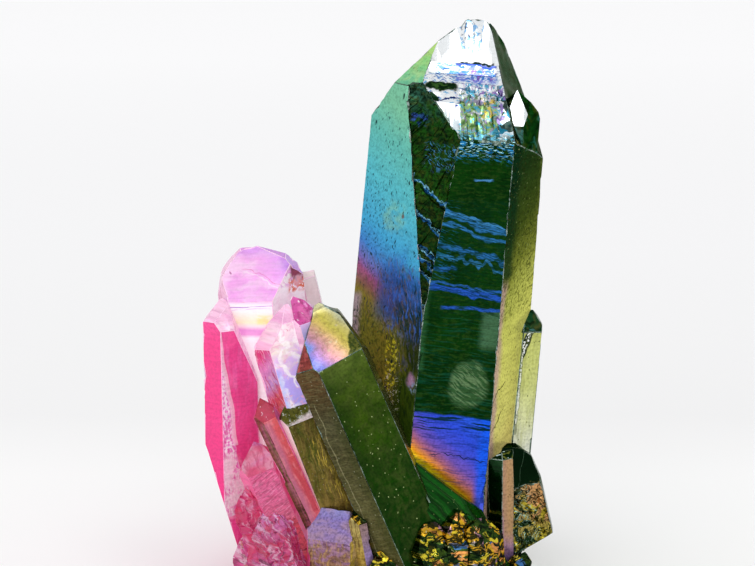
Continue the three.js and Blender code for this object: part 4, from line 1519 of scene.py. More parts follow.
GREEN_FILMS = {
    "all": GREEN_BACK,
    "tips": DARK_TIP,
    "tip0": Film(
        stops=(
            (-4.2, 0x788CEE), (-3.3, 0x9696F0), (-2.2, 0xC496D7), (-1.1, 0xD79BAC), (0.1, 0xDAAC8C),
            (1.2, 0xD7BE69), (2.2, 0xD4C85C), (3, 0xD6CA76), (3.9, 0xDEDCB4),
        ),
        slant=80, warp=0.9, warp_size=2.6, metal=0.4, rough=0.3, coat=0.1, clear=0.06, tint=0xF0E1BE,
        shadow=0.06, grit=0.15,
    ).marked(
        Mark(0x78A5F5, share=0.85, zone=(-4.6, -2.7, 3, 6.6), fade=1),
        Mark(0xDEDEB4, share=0.8, zone=(-3, 6, 7.6, 10), fade=1.4),
        Mark(0xEBDCB4, SPECK, (0.9, 0.9), 0.3, 0.2, 0.6, zone=(-1.5, 2.4, 1.5, 7)),
        Mark(0x786432, CLOUD, (0.4, 0.4), 0.56, 0.08, 0.35),
        Mark(0x5C6022, zone=(-0.6, 5, -3, 4), cuts=((-41.3, 0.25),), fade=0.3),
        Mark(0x2D3E0F, CLOUD, (0.5, 0.5), 0.5, 0.05, 0.85, zone=(-0.6, 5, -3, 4), cuts=((-41.3, 0.25),),
             fade=0.3),
    ),
    "tip5": Film(
        stops=((-3, 0x965541), (1, 0x96423E), (5, 0x803037)), warp=0.6, metal=0.6, rough=0.2, clear=0.08,
        tint=0xE69682,
    ).marked(
        Mark(0xFAEBF2, CLOUD, (0.5, 0.6), 0.5, 0.04, 0.95, zone=(-3.4, -1.2, -2.6, 1.6)),
        Mark(0xD76E6E, CLOUD, (0.7, 1), 0.56, share=0.7),
        Mark(0x6E5F2D, CLOUD, (1, 1), 0.5, share=0.7, zone=(-1.4, 4, -3, 0)),
    ),
    "side0": Film(
        stops=(
            (9, 0x0C3602), (17, 0x144003), (20.5, 0x244A05), (26, 0x385608), (31, 0x4E661A),
            (33.2, 0x5C722A), (35.5, 0x687A2E),
        ),
        slant=-16, warp=0.9, warp_size=3, metal=0.6, rough=0.2, clear=0.003, lines=0.45, relief=0.006,
        shadow=0.1, tint=0x78BE64, grit=0.26,
    ).marked(
        Mark(0x68703A, CLOUD, (0.6, 0.9), 0.52, 0.2, 0.28),
        Mark(0x0C3204, share=0.6, zone=(-6, -2.6, 9, 34), fade=3.6),
        Mark(0x082C06, CLOUD, (2.5, 2.5), 0.5, 0.16, 0.4),
        Mark(0x0F3E28, share=0.6, zone=(-6, -4.2, 30, 36), fade=1.2),
        Mark(0xC8D796, SPECK, (0.7, 0.8), 0.13, 0.06, 0.7),
        Mark(0x3CBE46, zone=(-4.75, -4.15, 25.9, 26.8), oval=True, fade=0.5),
        Mark(0x0E3C0E, zone=(-4.65, -4.25, 26.1, 26.6), oval=True, fade=0.4),
    ),
    "side5": replace(
        STONY,
        stops=(
            (10, 0x58562D), (16, 0x605E38), (24, 0x4C4A2C), (28, 0x545237), (31, 0x4C4026), (34, 0x624A2E),
        ),
        warp=0.6, lines=0.16, relief=0.008, shadow=0.26,
    ).marked(
        Mark(0x78744E, STREAK, (1.5, 0.25), 0.54, 0.1, 0.35, slant=12),
        Mark(0x323C14, share=0.4, zone=(1.1, 4, 10, 30), fade=0.8),
        Mark(0xBEBEA0, SPECK, (0.5, 0.9), 0.12, 0.05, 0.7),
        Mark(0xA5A078, share=0.6, zone=(-0.62, -0.5, 10, 31), fade=0.1),
    ),
    "side1": Film(stops=((8, 0x3C4B19), (36, 0x69703E)), warp=1, metal=0.7, rough=0.2, clear=0.05).marked(
        FLECKS,
    ),
    "break0": Film(
        stops=((-6, 0xCDCD96), (4, 0xE6E2BE)), warp=0.6, metal=0.4, rough=0.25, clear=0.1,
    ).marked(Mark(0x5F693C, SPECK, (0.6, 0.6), 0.2, 0.06)),
    "break1": Film(
        stops=((-6, 0x5F691E), (4, 0x96914B)), warp=0.8, metal=0.6, rough=0.2, clear=0.05,
    ).marked(
        Mark(0x3C4B14, CLOUD, (0.7, 0.7), 0.5, share=0.8),
        FLECKS,
    ),
}
GREEN_STEP_FILMS = {
    "all": Film(
        stops=((0, 0x0A2A06), (8, 0x082E08), (14, 0x0C3E0E), (20, 0x0A320A)), slant=35, warp=0.6, metal=0.6,
        rough=0.14, clear=0.02, tint=0x46AA46, shadow=0.1, shared="clear_green",
    ).marked(
        Mark(0x16681A, STREAK, (7, 0.7), 0.54, 0.12, 0.6, slant=58),
        Mark(0x6E965A, STREAK, (9, 0.08), 0.66, 0.05, 0.6, slant=58),
        Mark(0xAABE78, SPECK, (0.5, 0.6), 0.11, 0.05, 0.7),
    ),
}
GOLD_FILMS = {
    "all": GREEN_BACK,
    "tips": replace(STONY, stops=((-3, 0x696420), (3, 0x5A5820))),
    "side0": replace(
        STONY, stops=((8, 0x8C733C), (14, 0x846C32), (20, 0x696026), (26, 0x625C24)), warp=0.5,
        warp_size=2, lines=0.5, shadow=0.12,
    ).marked(
        Mark(0x3E5016, STREAK, (0.8, 6), 0.5, 0.14, 0.7, slant=4, zone=(-4, 0.6, 15, 28), fade=2),
        Mark(0x967D44, STREAK, (0.2, 2.6), 0.54, 0.14, 0.6, slant=8),
        Mark(0x583E1E, STREAK, (0.3, 3.2), 0.56, 0.14, 0.5, slant=8),
        Mark(0xD7B94B, STREAK, (0.14, 1.6), 0.6, 0.06, 0.8, slant=8, zone=(-0.5, 4, 8, 24), fade=1.5),
        Mark(0xAAA08C, SPECK, (0.4, 0.5), 0.14, 0.06, 0.7),
        Mark(0xCDC8AA, share=0.6, zone=(1.55, 1.65, 8, 26), fade=0.08),
    ),
    "side5": replace(PALE, stops=((8, 0xBE8C78), (20, 0xEBC3C3), (26, 0xF5E1E1))),
    "tip0": replace(
        STONY, stops=((-3, 0xF5DEE1), (0.5, 0xF6E2E4), (1, 0x696828), (4, 0x626024)), slant=-14, warp=0.7,
        warp_size=1,
    ).marked(
        Mark(0xEBF0EB, CLOUD, (0.3, 0.5), 0.6, 0.03, 0.9),
        Mark(0x323E12, CLOUD, (0.5, 0.5), 0.56, share=0.7, zone=(-4, 4, 1, 6)),
    ),
}
RED_FILMS = {
    "all": PINK_BACK,
    "tips": replace(PINK, stops=((-2, 0xCD3C50), (2, 0xBE374B)), warp=0.8).marked(
        Mark(0xFAEBF5, SPECK, (0.35, 0.4), 0.2, 0.05, 0.9),
    ),
    "side0": replace(
        PINK, stops=((10, 0xCD465A), (18, 0xC84450), (24, 0xD74E55), (28, 0xE15F64)), warp=0.7, clear=0.08,
        tint=0xF0646E,
    ).marked(
        Mark(0xBE6E8C, share=0.8, zone=(-4, -0.45, 10, 27), fade=0.8),
        Mark(0xEB8C96, CLOUD, (0.5, 2), 0.58, 0.1, 0.5),
    ),
    "side5": replace(STONY, stops=((10, 0x78503C), (20, 0x845246), (28, 0xA04250))).marked(
        Mark(0xB96982, share=0.8, zone=(0.2, 3, 8, 27), fade=0.8),
        Mark(0x6E5F2D, STREAK, (0.25, 4), 0.55, share=0.7),
    ),
}
ROSE_FILMS = {
    "all": PINK_BACK,
    "tips": replace(PINK, stops=((-3, 0xDE4E7A), (3, 0xD7557D))),
    "side0": replace(
        PINK, stops=((4, 0xC83C50), (11.5, 0xCD3E55), (12.6, 0xCD5A7D), (16, 0xDA5F91), (20, 0xDE588C)),
        warp=0.6, clear=0.08, tint=0xF578A0, lines=0.22, relief=0.012, shadow=0.2, grit=0.25,
    ).marked(
        Mark(0xF096BE, STREAK, (1.6, 0.16), 0.56, 0.1, 0.45, slant=-14, zone=(-4, 4, 12.2, 20)),
        Mark(0xAA234B, STREAK, (1.6, 0.16), 0.57, 0.1, 0.45, slant=-14, zone=(-4, 4, 12.2, 20)),
        Mark(0x78142D, CLOUD, (0.4, 0.3), 0.58, share=0.7, zone=(-4, 4, 4, 12.4)),
    ),
}
CRIMSON_FILMS = {
    "all": replace(
        PINK, stops=((0, 0xE282CD), (6, 0xDA58A0), (11, 0xD02C68), (16, 0xDA4280)), painted_glow=0.1, warp=0.9,
        warp_size=1.6, shared="crimson",
    ).marked(
        Mark(0xFABEE1, STREAK, (0.32, 2.4), 0.54, 0.08, 0.6, slant=-12),
        Mark(0xE1235F, STREAK, (0.7, 2.2), 0.54, share=0.8, slant=-12),
        Mark(0xAA1E46, CLOUD, (0.4, 0.5), 0.62, share=0.7),
    ),
}
BLUSH_FILMS = {
    "all": replace(
        PINK, stops=((0, 0xDE91D4), (5, 0xD460A5), (9, 0xC4386C), (13, 0xD487D0)), painted_glow=0.1, warp=1,
        warp_size=1.4, shared="blush",
    ).marked(
        Mark(0xC8C8F8, STREAK, (0.5, 2.5), 0.5, 0.1, 0.7, slant=-22, zone=(0.9, 6, 0, 13), fade=1.4),
        Mark(0xFAD7F0, STREAK, (0.32, 1.8), 0.55, 0.08, 0.6, slant=-22),
        Mark(0xCD325A, CLOUD, (0.5, 0.8), 0.54, 0.06, 0.8),
        Mark(0xE1965A, CLOUD, (0.5, 0.4), 0.58, 0.05, 0.8, zone=(-4, 4, 0, 6)),
        Mark(0x5A1946, CLOUD, (0.25, 0.3), 0.62, 0.04, 0.8),
    ),
}
LAVENDER_FILMS = {
    "all": PINK_BACK,
    "tips": replace(
        STONY, stops=((-3, 0xAF82A0), (0, 0xA587B9), (3, 0x9684CD), (5, 0xA5A5E1)), warp=0.7, warp_size=1.5,
        shadow=0.1, grit=0.35,
    ).marked(
        Mark(0xB996A5, CLOUD, (1.6, 1), 0.52, 0.16, 0.6),
        Mark(0x5F55A5, SPECK, (0.4, 0.4), 0.16, 0.1, 0.5),
        Mark(0xCDC3EB, SPECK, (0.4, 0.4), 0.16, 0.08, 0.7),
    ),
    "side0": replace(
        STONY, stops=((0, 0xA57855), (6, 0x9E7352), (8.4, 0xA07A70), (10.3, 0xA582B9)), warp=0.8,
        warp_size=1.6,
    ).marked(
        Mark(0xC8A05A, STREAK, (0.3, 1.6), 0.54, 0.08, 0.7, slant=6),
        Mark(0x784646, CLOUD, (0.5, 0.5), 0.56, 0.1, 0.6),
        Mark(0xAF82AF, CLOUD, (1, 0.8), 0.55, 0.1, 0.7),
    ),
    "side1": replace(STONY, stops=((0, 0xAF8C46), (10, 0xB49664))).marked(
        Mark(0xD2B43C, STREAK, (0.3, 3), 0.52, share=0.8),
        Mark(0x5A5023, STREAK, (0.2, 2), 0.58, share=0.7),
    ),
    "tip1": replace(STONY, stops=((-3, 0xAF964B), (3, 0xB9A555), (6, 0xAA96AA))).marked(
        Mark(0x5F5523, STREAK, (0.2, 1.2), 0.55, share=0.7),
    ),
}
SLIVER_FILMS = {
    "all": DRUSE,
    "side5": replace(STONY, stops=((0, 0xAF8C4B), (8, 0xBEA04B), (13, 0xBEAF6E))).marked(
        Mark(0x785A32, STREAK, (0.2, 3), 0.53, 0.06, 0.7),
    ),
    "side0": replace(
        STONY, stops=((0, 0x8C7DC8), (6, 0x9682C3), (10, 0xA5878C), (14, 0x96785F)), slant=-30,
    ),
}
CORNER_FILMS = {
    "all": DARK_TIP,
    "side0": replace(
        STONY, stops=((0, 0x506E28), (7, 0xAAA03C), (11, 0xB99B55), (15, 0xBE965F)), warp=1.2,
        warp_size=1.2, metal=0.6,
    ).marked(
        Mark(0xCDB932, CLOUD, (1.5, 1.6), 0.5, 0.05, 0.9, zone=(-5, 2.2, 2, 14)),
        Mark(0xD7C337, MOSAIC, (1.4, 1.1), 0.32, 0.04, 0.9, zone=(-5, 5, 2, 9)),
        Mark(0xD7A069, MOSAIC, (2.4, 2.6), 0.4, 0.05, 0.9, zone=(-0.2, 5, 8, 16)),
        Mark(0x0A3416, MOSAIC, (1.2, 0.9), 0.22, 0.04, 0.95, zone=(-5, 5, 2, 12)),
        Mark(0x082C12, CLOUD, (1, 0.8), 0.54, 0.03, 0.95, zone=(-5, -0.5, 5, 16)),
        # Pale teal streaks: painted glints.
        Mark(0xA0C8B9, STREAK, (0.6, 0.14), 0.6, 0.03, 0.95, slant=-25, zone=(-5, 0.5, 4, 15)),
        Mark(0x0E220E, STREAK, (0.8, 0.18), 0.56, 0.03, 0.95, slant=-20),
        Mark(0x142D10, STREAK, (0.2, 0.9), 0.58, 0.03, 0.9, slant=-20),
    ),
    "tip0": Film(
        stops=((-1, 0x06220C), (2, 0x031806), (5, 0x031808)), warp=0.6, metal=0.7, rough=0.12, coat=0.03,
        clear=0.003, shadow=0.1,
    ).marked(
        Mark(0x78A07D, BAND, (2, 0.04), 2, 0.2, 0.5, slant=-62),
        Mark(0x96BEAF, CLOUD, (0.4, 0.3), 0.6, 0.04, 0.9, zone=(-4, -1.2, -2, 8)),
        Mark(0x968246, CLOUD, (0.5, 0.4), 0.58, 0.05, 0.8, zone=(-4, 5, -2, 0.6)),
    ),
}
STRIPE_FILMS = {
    "all": DARK_TIP,
    "tips": replace(DARK_TIP, stops=((0, 0x061E0A), (8, 0x0A280E)), metal=0.3, rough=0.3, shared="").marked(
        # Pale specks on the dark tips: painted glints.
        Mark(0xD2EBE6, SPECK, (0.5, 0.5), 0.24, 0.05, 0.9),
        Mark(0x787D32, CLOUD, (0.5, 0.4), 0.56, 0.05, 0.8),
    ),
    "side0": replace(
        STONY,
        stops=((-1.2, 0x876EC8), (-0.7, 0xA580A5), (-0.2, 0xB68E73), (0.6, 0xBE9669), (1.3, 0xB69169)),
        slant=88, warp=0.3, shadow=0.12,
    ).marked(
        Mark(0xA57DC3, share=0.8, zone=(-3, 3, 0, 7), fade=4),
        Mark(0x5A4628, SPECK, (0.6, 0.7), 0.16, 0.06),
    ),
    "side5": Film(
        stops=((0, 0xBE826E), (3, 0xAF8C32), (5.2, 0x967828), (5.8, 0x0E3212), (18, 0x0A2C10)), warp=0.5,
        clear=0.04,
    ).marked(
        Mark(0xA5962D, BAND, (1, 0.3), 11, 0.5),
        Mark(0xA5962D, BAND, (1, 0.14), 9.9, 0.4),
        Mark(0xAF9B28, BAND, (1, 0.25), 5.6, 0.6),
        Mark(0xB98282, CLOUD, (0.7, 0.6), 0.5, share=0.9, zone=(-2, 2, 0, 5)),
        Mark(0x143214, STREAK, (1.2, 0.3), 0.55, share=0.8, zone=(-2, 2, 0, 6)),
    ),
}
CRYSTALS = (
    Crystal(
        name="main", foot=(4.8, 3.9), lean=(4.6, 0.9), roll=6, taper=0.8,
        reach=(11.5, 10.9, 10.1, 11.6, 11.7, 9.7), shoulder=(60.1, 67, 69, 61.2, 60.8, 65.6),
        breaks=(
            Break((16.14, -7.2, 59.22), 73.5, 21.3),
            Break((16.05, 5, 69.5), 97, 22),
            Break((3.1, -2.7, 64.1), -37, 7),
        ),
        films=MAIN_FILMS, reliefs=MAIN_RELIEFS, wave=0.9, edges=EDGE_HIGHLIGHT_AND_WEAR, worn=0.08,
    ),
    Crystal(
        name="main_step", foot=(12.2, 0.6), lean=(4.6, 0.9), roll=6, taper=0.8,
        reach=(4.83, 2.75, 6.3, 2.5, 2.5, 4.91), shoulder=(61.2, 62.6, 58.7, 62.4, 63.7, 61.6),
        films=MAIN_STEP_FILMS, reliefs={"tip0": FLAT},
    ),
    Crystal(
        name="side", foot=(15.6, 3.2), lean=(5, 0), roll=28, reach=(2.2, 2.5, 2.8, 1.8, 2.8, 2.5),
        shoulder=(33.3, 34.1, 36.3, 34.3, 35.3, 33.3), films=SIDE_FILMS, edges=EDGE_HIGHLIGHT_AND_WEAR,
    ),
    Crystal(
        name="dome", foot=(-13.5, 1), lean=(-3.9, 1.3), roll=-12, reach=(5.4, 5.3, 5.5, 5.4, 5.2, 5.5),
        shoulder=(38.7, 44.7, 44.7, 38.8, 42.7, 44.7),
        breaks=(
            Break((-20.2, 1, 42.8), -84, 38),
            Break((-21.7, 1, 39.3), -82, 8),
            Break((-12.1, 1, 43.1), 86, 44),
            Break((-17.9, 1, 44.7), -65, 75),
            Break((-14.6, 1, 44.4), 74, 73),
        ),
        films=DOME_FILMS,
        reliefs={
            "all": PINK_RELIEF,
            "tip0": Relief(
                spacing=2.6, depth=0.12, riser=0.4, cell=0.7, slant=20, rough=0.08, grain=2.5, cover=0.8,
                seed=14,
            ),
        },
        edges=PINK_EDGE_HIGHLIGHT, worn=0.06,
    ),
    Crystal(
        name="outer", foot=(-19.8, -4), lean=(-0.6, -0.6), roll=28, taper=0.3,
        reach=(3.3, 3.9, 3.2, 4, 3.2, 3.9), shoulder=(35.1, 35.1, 35.1, 35.1, 36.1, 37.2),
        breaks=(
            Break((-18.7, -6.5, 33.8), 82, 20),
            Break((-21.9, -4, 14.6), -82, -16),
            Break((-21.6, -5, 37.3), -32, 59),
        ),
        films=OUTER_FILMS, reliefs={"all": PINK_RELIEF}, edges=PINK_EDGE_HIGHLIGHT, worn=0.05,
    ),
    Crystal(
        name="centre", foot=(-4.1, -7.5), lean=(-15.9, 0), roll=5, reach=(2.2, 4, 2.6, 2.1, 4, 2.3),
        shoulder=(37.5, 38.5, 39.5, 37.1, 39.5, 34.8), films=CENTRE_FILMS, reliefs={"all": PINK_RELIEF},
        edges=PINK_EDGE_HIGHLIGHT, worn=0.05,
    ),
    Crystal(
        name="grey", foot=(-2.2, 3.5), lean=(-12.5, 0), roll=32, taper=0.2,
        reach=(2.3, 2.1, 2.6, 1.7, 2.6, 2.1), shoulder=(41.1, 43.1, 43.1, 38.3, 44.1, 44.1),
        breaks=(Break((-10.3, 3.5, 41.2), 76, 85),), films=GREY_FILMS, edges=PINK_EDGE_HIGHLIGHT, worn=0.05,
    ),
    Crystal(
        name="magenta", foot=(0.2, -7.2), lean=(-15.3, 0), roll=22, taper=0.2,
        reach=(2.3, 1.6, 1.6, 2.3, 1.6, 2.9), shoulder=(38, 39, 39, 40, 41, 40.6),
        films=MAGENTA_FILMS, reliefs={"tip0": FLAT},
    ),
    Crystal(
        name="green", foot=(6.6, -10), lean=(-23.2, -0.7), roll=30, taper=0.3,
        reach=(5.2, 4.9, 5.9, 5.7, 4.4, 6.3), shoulder=(35.1, 38.1, 39.1, 35.3, 35.3, 35.7),
        breaks=(Break((-7.3, -10, 38.9), 108, 66), Break((-5, -10, 36.9), 95, 36)), films=GREEN_FILMS,
        reliefs={
            "tip0": FLAT,
            "side0": Relief(spacing=5, depth=0.02, riser=0.6, cell=3, cover=0.5, seed=17),
            "side5": Relief(spacing=0.9, depth=0.02, riser=0.3, cell=2, slant=10, cover=0.9, seed=18),
        },
        edges=EDGE_HIGHLIGHT_AND_WEAR,
    ),
    Crystal(
        name="green_step", foot=(9.6, -9.2), lean=(-25.2, 0), roll=6, taper=0.3,
        reach=(4.5, 7.2, 6.2, 4.9, 5, 5.4), shoulder=(14, 19.5, 18.5, 16.2, 16.5, 16),
        breaks=(Break((8.1, -9, 15.3), 105, 52),), films=GREEN_STEP_FILMS, worn=0,
    ),
    Crystal(
        name="gold", foot=(-1.3, -8.5), lean=(-20.5, 0), roll=10, taper=0.3,
        reach=(2.5, 3.2, 3.2, 2.8, 3, 3.4), shoulder=(26, 27, 27, 25.6, 26.3, 27),
        films=GOLD_FILMS, edges=EDGE_HIGHLIGHT_AND_WEAR,
    ),
    Crystal(
        name="red", foot=(-3.9, -10), lean=(-24.2, 0), roll=24, taper=0.3,
        reach=(1.9, 1.5, 2, 2, 1.4, 2.1), shoulder=(26.9, 27.9, 27.9, 27.9, 27.9, 27.9),
        films=RED_FILMS, worn=0.04,
    ),
    Crystal(
        name="rose", foot=(-8.4, -9), lean=(-22.7, 0), roll=5, taper=0.3,
        reach=(2.5, 2.7, 2.6, 2.8, 2.4, 2.9), shoulder=(19.2, 20.2, 20.2, 20.7, 19.5, 20.2),
        films=ROSE_FILMS,
        reliefs={
            "side0": Relief(
                spacing=0.7, depth=0.1, riser=0.15, cell=0.8, slant=-12, rough=0.06, cover=0.9, seed=15,
            ),
        },
        edges=PINK_EDGE_HIGHLIGHT, worn=0,
    ),
    Crystal(
        name="crimson", foot=(-13.9, -9.5), lean=(-14.6, 0), roll=20, taper=0.3,
        reach=(2.3, 1.8, 2.6, 2, 2.1, 2.3), shoulder=(14.8, 15.8, 15.8, 12.8, 13.3, 15.8),
        films=CRIMSON_FILMS,
        reliefs={
            "all": Relief(
                spacing=0.9, depth=0.12, riser=0.15, cell=0.7, rough=0.12, grain=0.8, cover=0.9, chunk=1.4,
                block=0.35,
            ),
        },
        worn=0.07,
    ),
    Crystal(
        name="blush", foot=(-11.1, -11.5), lean=(-18, 0), roll=5, taper=0.3,
        reach=(2.5, 2.7, 2.6, 2.7, 2.5, 2.7), shoulder=(10, 11, 11, 10.3, 10.8, 11),
        films=BLUSH_FILMS,
        reliefs={
            "all": Relief(
                spacing=0.8, depth=0.15, riser=0.12, cell=0.6, rough=0.15, grain=0.6, cover=0.9, chunk=1.2,
                block=0.25,
            ),
        },
        worn=0.07,
    ),
    Crystal(
        name="lavender", foot=(-5.9, -12), lean=(-0.6, 0.9), roll=-26, taper=0.2,
        reach=(2.8, 4, 3.5, 3.3, 3.6, 4), shoulder=(9.7, 10.1, 11.7, 9.1, 12, 10.7),
        films=LAVENDER_FILMS,
        reliefs={
            "tips": Relief(
                spacing=1.2, depth=0.06, riser=0.3, cell=0.5, rough=0.16, grain=0.7, cover=0.8, seed=19,
            ),
        },
    ),
    Crystal(
        name="sliver", foot=(-1.3, -14), lean=(-10, 0), roll=30, taper=0.3,
        reach=(1.7, 1.2, 1.6, 1.7, 1.2, 1.6), shoulder=(12.3, 13.3, 13.3, 12.5, 12.9, 13.3),
        films=SLIVER_FILMS,
    ),
    Crystal(
        name="corner", foot=(21.6, -4), lean=(-15.1, 0), roll=10, taper=0.3,
        reach=(2, 2.8, 3, 3.6, 4, 4), shoulder=(14.5, 27, 27, 22, 26, 25),
        breaks=(
            Break((20.2, -4, 6.6), 76, -56),
            Break((17.5, -4, 18.4), 0, 86),
            Break((18.3, -4, 18.2), 96, 58),
            Break((19.8, -4, 16), 88, 25),
            Break((21.2, -4, 10.9), 86, 13),
        ),
        films=CORNER_FILMS,
        reliefs={
            "side0": Relief(
                spacing=1.4, depth=0.12, riser=0.2, cell=0.6, rough=0.1, grain=0.8, cover=0.8, chunk=1,
                block=0.5, seed=16,
            ),
        },
        edges=EDGE_HIGHLIGHT_AND_WEAR,
    ),
    Crystal(
        name="stripe", foot=(15.1, -6), lean=(-0.3, 0), roll=35, taper=0.2,
        reach=(1.4, 1.6, 1.8, 1.1, 1.9, 1.5), shoulder=(18.3, 19.1, 19.3, 17.2, 19.3, 18.3),
        films=STRIPE_FILMS, edges=EDGE_HIGHLIGHT_AND_WEAR, worn=0.06,
    ),
)
POINTS = (
    ((-6, 8.5), (-10, -13), 10, 4.4, 27, PINK_BACK), ((-13, 7), (-6, -12), 40, 3.6, 20, PINK_BACK),
    ((8.5, 13), (3, -13), 15, 3.8, 22, GREEN_BACK), ((0, 13.5), (-5, -17), 50, 3, 13, GREEN_BACK),
    ((-9, 11), (-14, -24), 25, 2.4, 9, PINK_BACK), ((4.5, 15.5), (2, -30), 0, 2.2, 7, DRUSE),
    ((13, 11), (12, -20), 30, 2.4, 8, DRUSE), ((-15.6, 3), (-14, -6), 12, 2.4, 11, PINK_BACK),
    ((1.4, -14.4), (-12, 6), 20, 2.7, 9, DRUSE), ((4.4, -14.6), (6, 8), 45, 2.8, 7.6, DRUSE),
    ((7.2, -13.9), (-8, 2), 10, 2.9, 12.2, DRUSE), ((10.6, -13.4), (6, 2), 35, 2.9, 12.6, DRUSE),
    ((13, -12), (-4, 2), 5, 2.5, 12, DRUSE), ((5.2, -13.8), (4, 2), 28, 2.7, 10.8, DRUSE),
    ((8.9, -13.6), (2, 0), 52, 2.9, 13.4, DRUSE), ((2.8, -12.6), (-6, 2), 8, 2.3, 11.6, DRUSE),
    ((16.4, -7.4), (12, 6), 18, 1.7, 6.4, DRUSE), ((-8.6, -13.8), (-12, 8), 33, 2, 6.2, ROCK_PINK),
    ((-15.8, -7.4), (-16, 2), 22, 2.4, 8.4, ROCK_PINK),
)
MOUNDS = (
    Mound("mound_left", (-7, -1, 1.5), (11, 11, 6.5), ROCK_PINK),
    Mound("mound_right", (6, 2, 1), (11.5, 13, 5), DRUSE),
    Mound("mound_front", (1, -7.5, 0.5), (15.5, 8, 4.5), DRUSE),
)


@dataclass
class Cluster:
    """The whole cluster as one solid.

    Attributes:
        parts: Every part that is joined, in order.
        base_cut: Height of the flat cut that it rests on, in mm.
        sharp_from: Angle from which an edge stays sharp, in degrees.
        wardrobe: Its materials.
    """

    parts: tuple[Crystal | Mound, ...]
    base_cut: float = 0.0
    sharp_from: float = 22.0
    wardrobe: Wardrobe = field(default_factory=Wardrobe)

    def build(self) -> bpy.types.Object:
        """Shape, join, cut and dress the cluster.

        Returns:
            The finished object, at the origin and in metres.
        """
        pieces = []
        for part in self.parts:
            shape = part.shape(self.wardrobe)
            LOG.info("%s: %d triangles", part.name, len(shape.faces))
            pieces.append(self._as_object(part.name, shape))
        mesh = self._join(pieces)
        self._finish(mesh)
        made = bpy.data.objects.new("quartz_cluster_body", mesh)
        bpy.context.collection.objects.link(made)
        return made

    @staticmethod
    def _as_object(name: str, shape: bmesh.types.BMesh) -> bpy.types.Object:
        """Turn a shape into an object.

        Args:
            name: The object's name.
            shape: Its shape, which is used up.

        Returns:
            The object.
        """
        mesh = bpy.data.meshes.new(name)
        shape.to_mesh(mesh)
        shape.free()
        made = bpy.data.objects.new(name, mesh)
        bpy.context.collection.objects.link(made)
        return made

    def _join(self, pieces: list[bpy.types.Object]) -> bpy.types.Mesh:
        """Join the pieces in one solid and remove them.

        Args:
            pieces: The separate crystals and mounds.

        Returns:
            The joined mesh, with a slot for every material.
        """
        for piece in pieces:
            for material in self.wardrobe.materials:
                piece.data.materials.append(material)
        group = bpy.data.collections.new("others")
        for piece in pieces[1:]:
            group.objects.link(piece)
        union = pieces[0].modifiers.new("union", "BOOLEAN")
        union.operation = "UNION"
        union.solver = "MANIFOLD"
        union.operand_type = "COLLECTION"
        union.collection = group
        graph = bpy.context.evaluated_depsgraph_get()
        mesh = bpy.data.meshes.new_from_object(pieces[0].evaluated_get(graph), depsgraph=graph)
        for piece in pieces:
            bpy.data.objects.remove(piece)
        bpy.data.collections.remove(group)
        return mesh

    def _finish(self, mesh: bpy.types.Mesh) -> None:
        """Cut the base flat, set the shading, drop unused slots and scale to metres.

        Args:
            mesh: The joined mesh.
        """
        body = bmesh.new()
        body.from_mesh(mesh)
        made = bmesh.ops.bisect_plane(
            body,
            geom=body.verts[:] + body.edges[:] + body.faces[:],
            dist=CUT_PRECISION,
            plane_co=(0, 0, self.base_cut),
            plane_no=(0, 0, -1),
            clear_outer=True,
        )
        rim = [p for p in made["geom_cut"] if isinstance(p, bmesh.types.BMEdge) and p.is_boundary]
        below = self.wardrobe.slot("base", EVERYWHERE, CUT_STONE)
        for part in bmesh.ops.triangle_fill(body, edges=rim, use_beauty=True)["geom"]:
            if isinstance(part, bmesh.types.BMFace):
                part.material_index = below
        bmesh.ops.recalc_face_normals(body, faces=body.faces[:])
        for face in body.faces:
            face.smooth = True
        sharp = math.radians(self.sharp_from)
        for edge in body.edges:
            edge.smooth = len(edge.link_faces) == 2 and edge.calc_face_angle(0.0) < sharp
        used = sorted({face.material_index for face in body.faces})
        order = {slot: number for number, slot in enumerate(used)}
        for face in body.faces:
            face.material_index = order[face.material_index]
        open_edges = sum(not edge.is_manifold for edge in body.edges)
        LOG.info("joined: %d faces, %d slots, %d open edges", len(body.faces), len(used), open_edges)
        bmesh.ops.scale(body, vec=(MM, MM, MM), verts=body.verts[:])
        mesh.materials.clear()
        for slot in used:
            mesh.materials.append(self.wardrobe.materials[slot])
        body.to_mesh(mesh)
        body.free()


@dataclass(frozen=True)
class Lamp:
    """One soft round light: its place and width in metres and its power in watts."""

    name: str
    place: Triple
    size: float
    power: float

    def hang(self, aim: Triple) -> None:
        """Hang it in the scene.

        Args:
            aim: The point that it faces.
        """
        lamp = bpy.data.lights.new(self.name, "AREA")
        lamp.shape = "DISK"
        lamp.size = self.size
        lamp.energy = self.power
        made = bpy.data.objects.new(self.name, lamp)
        made.location = self.place
        made.rotation_euler = (Vector(aim) - made.location).to_track_quat("-Z", "Y").to_euler()
        bpy.context.collection.objects.link(made)


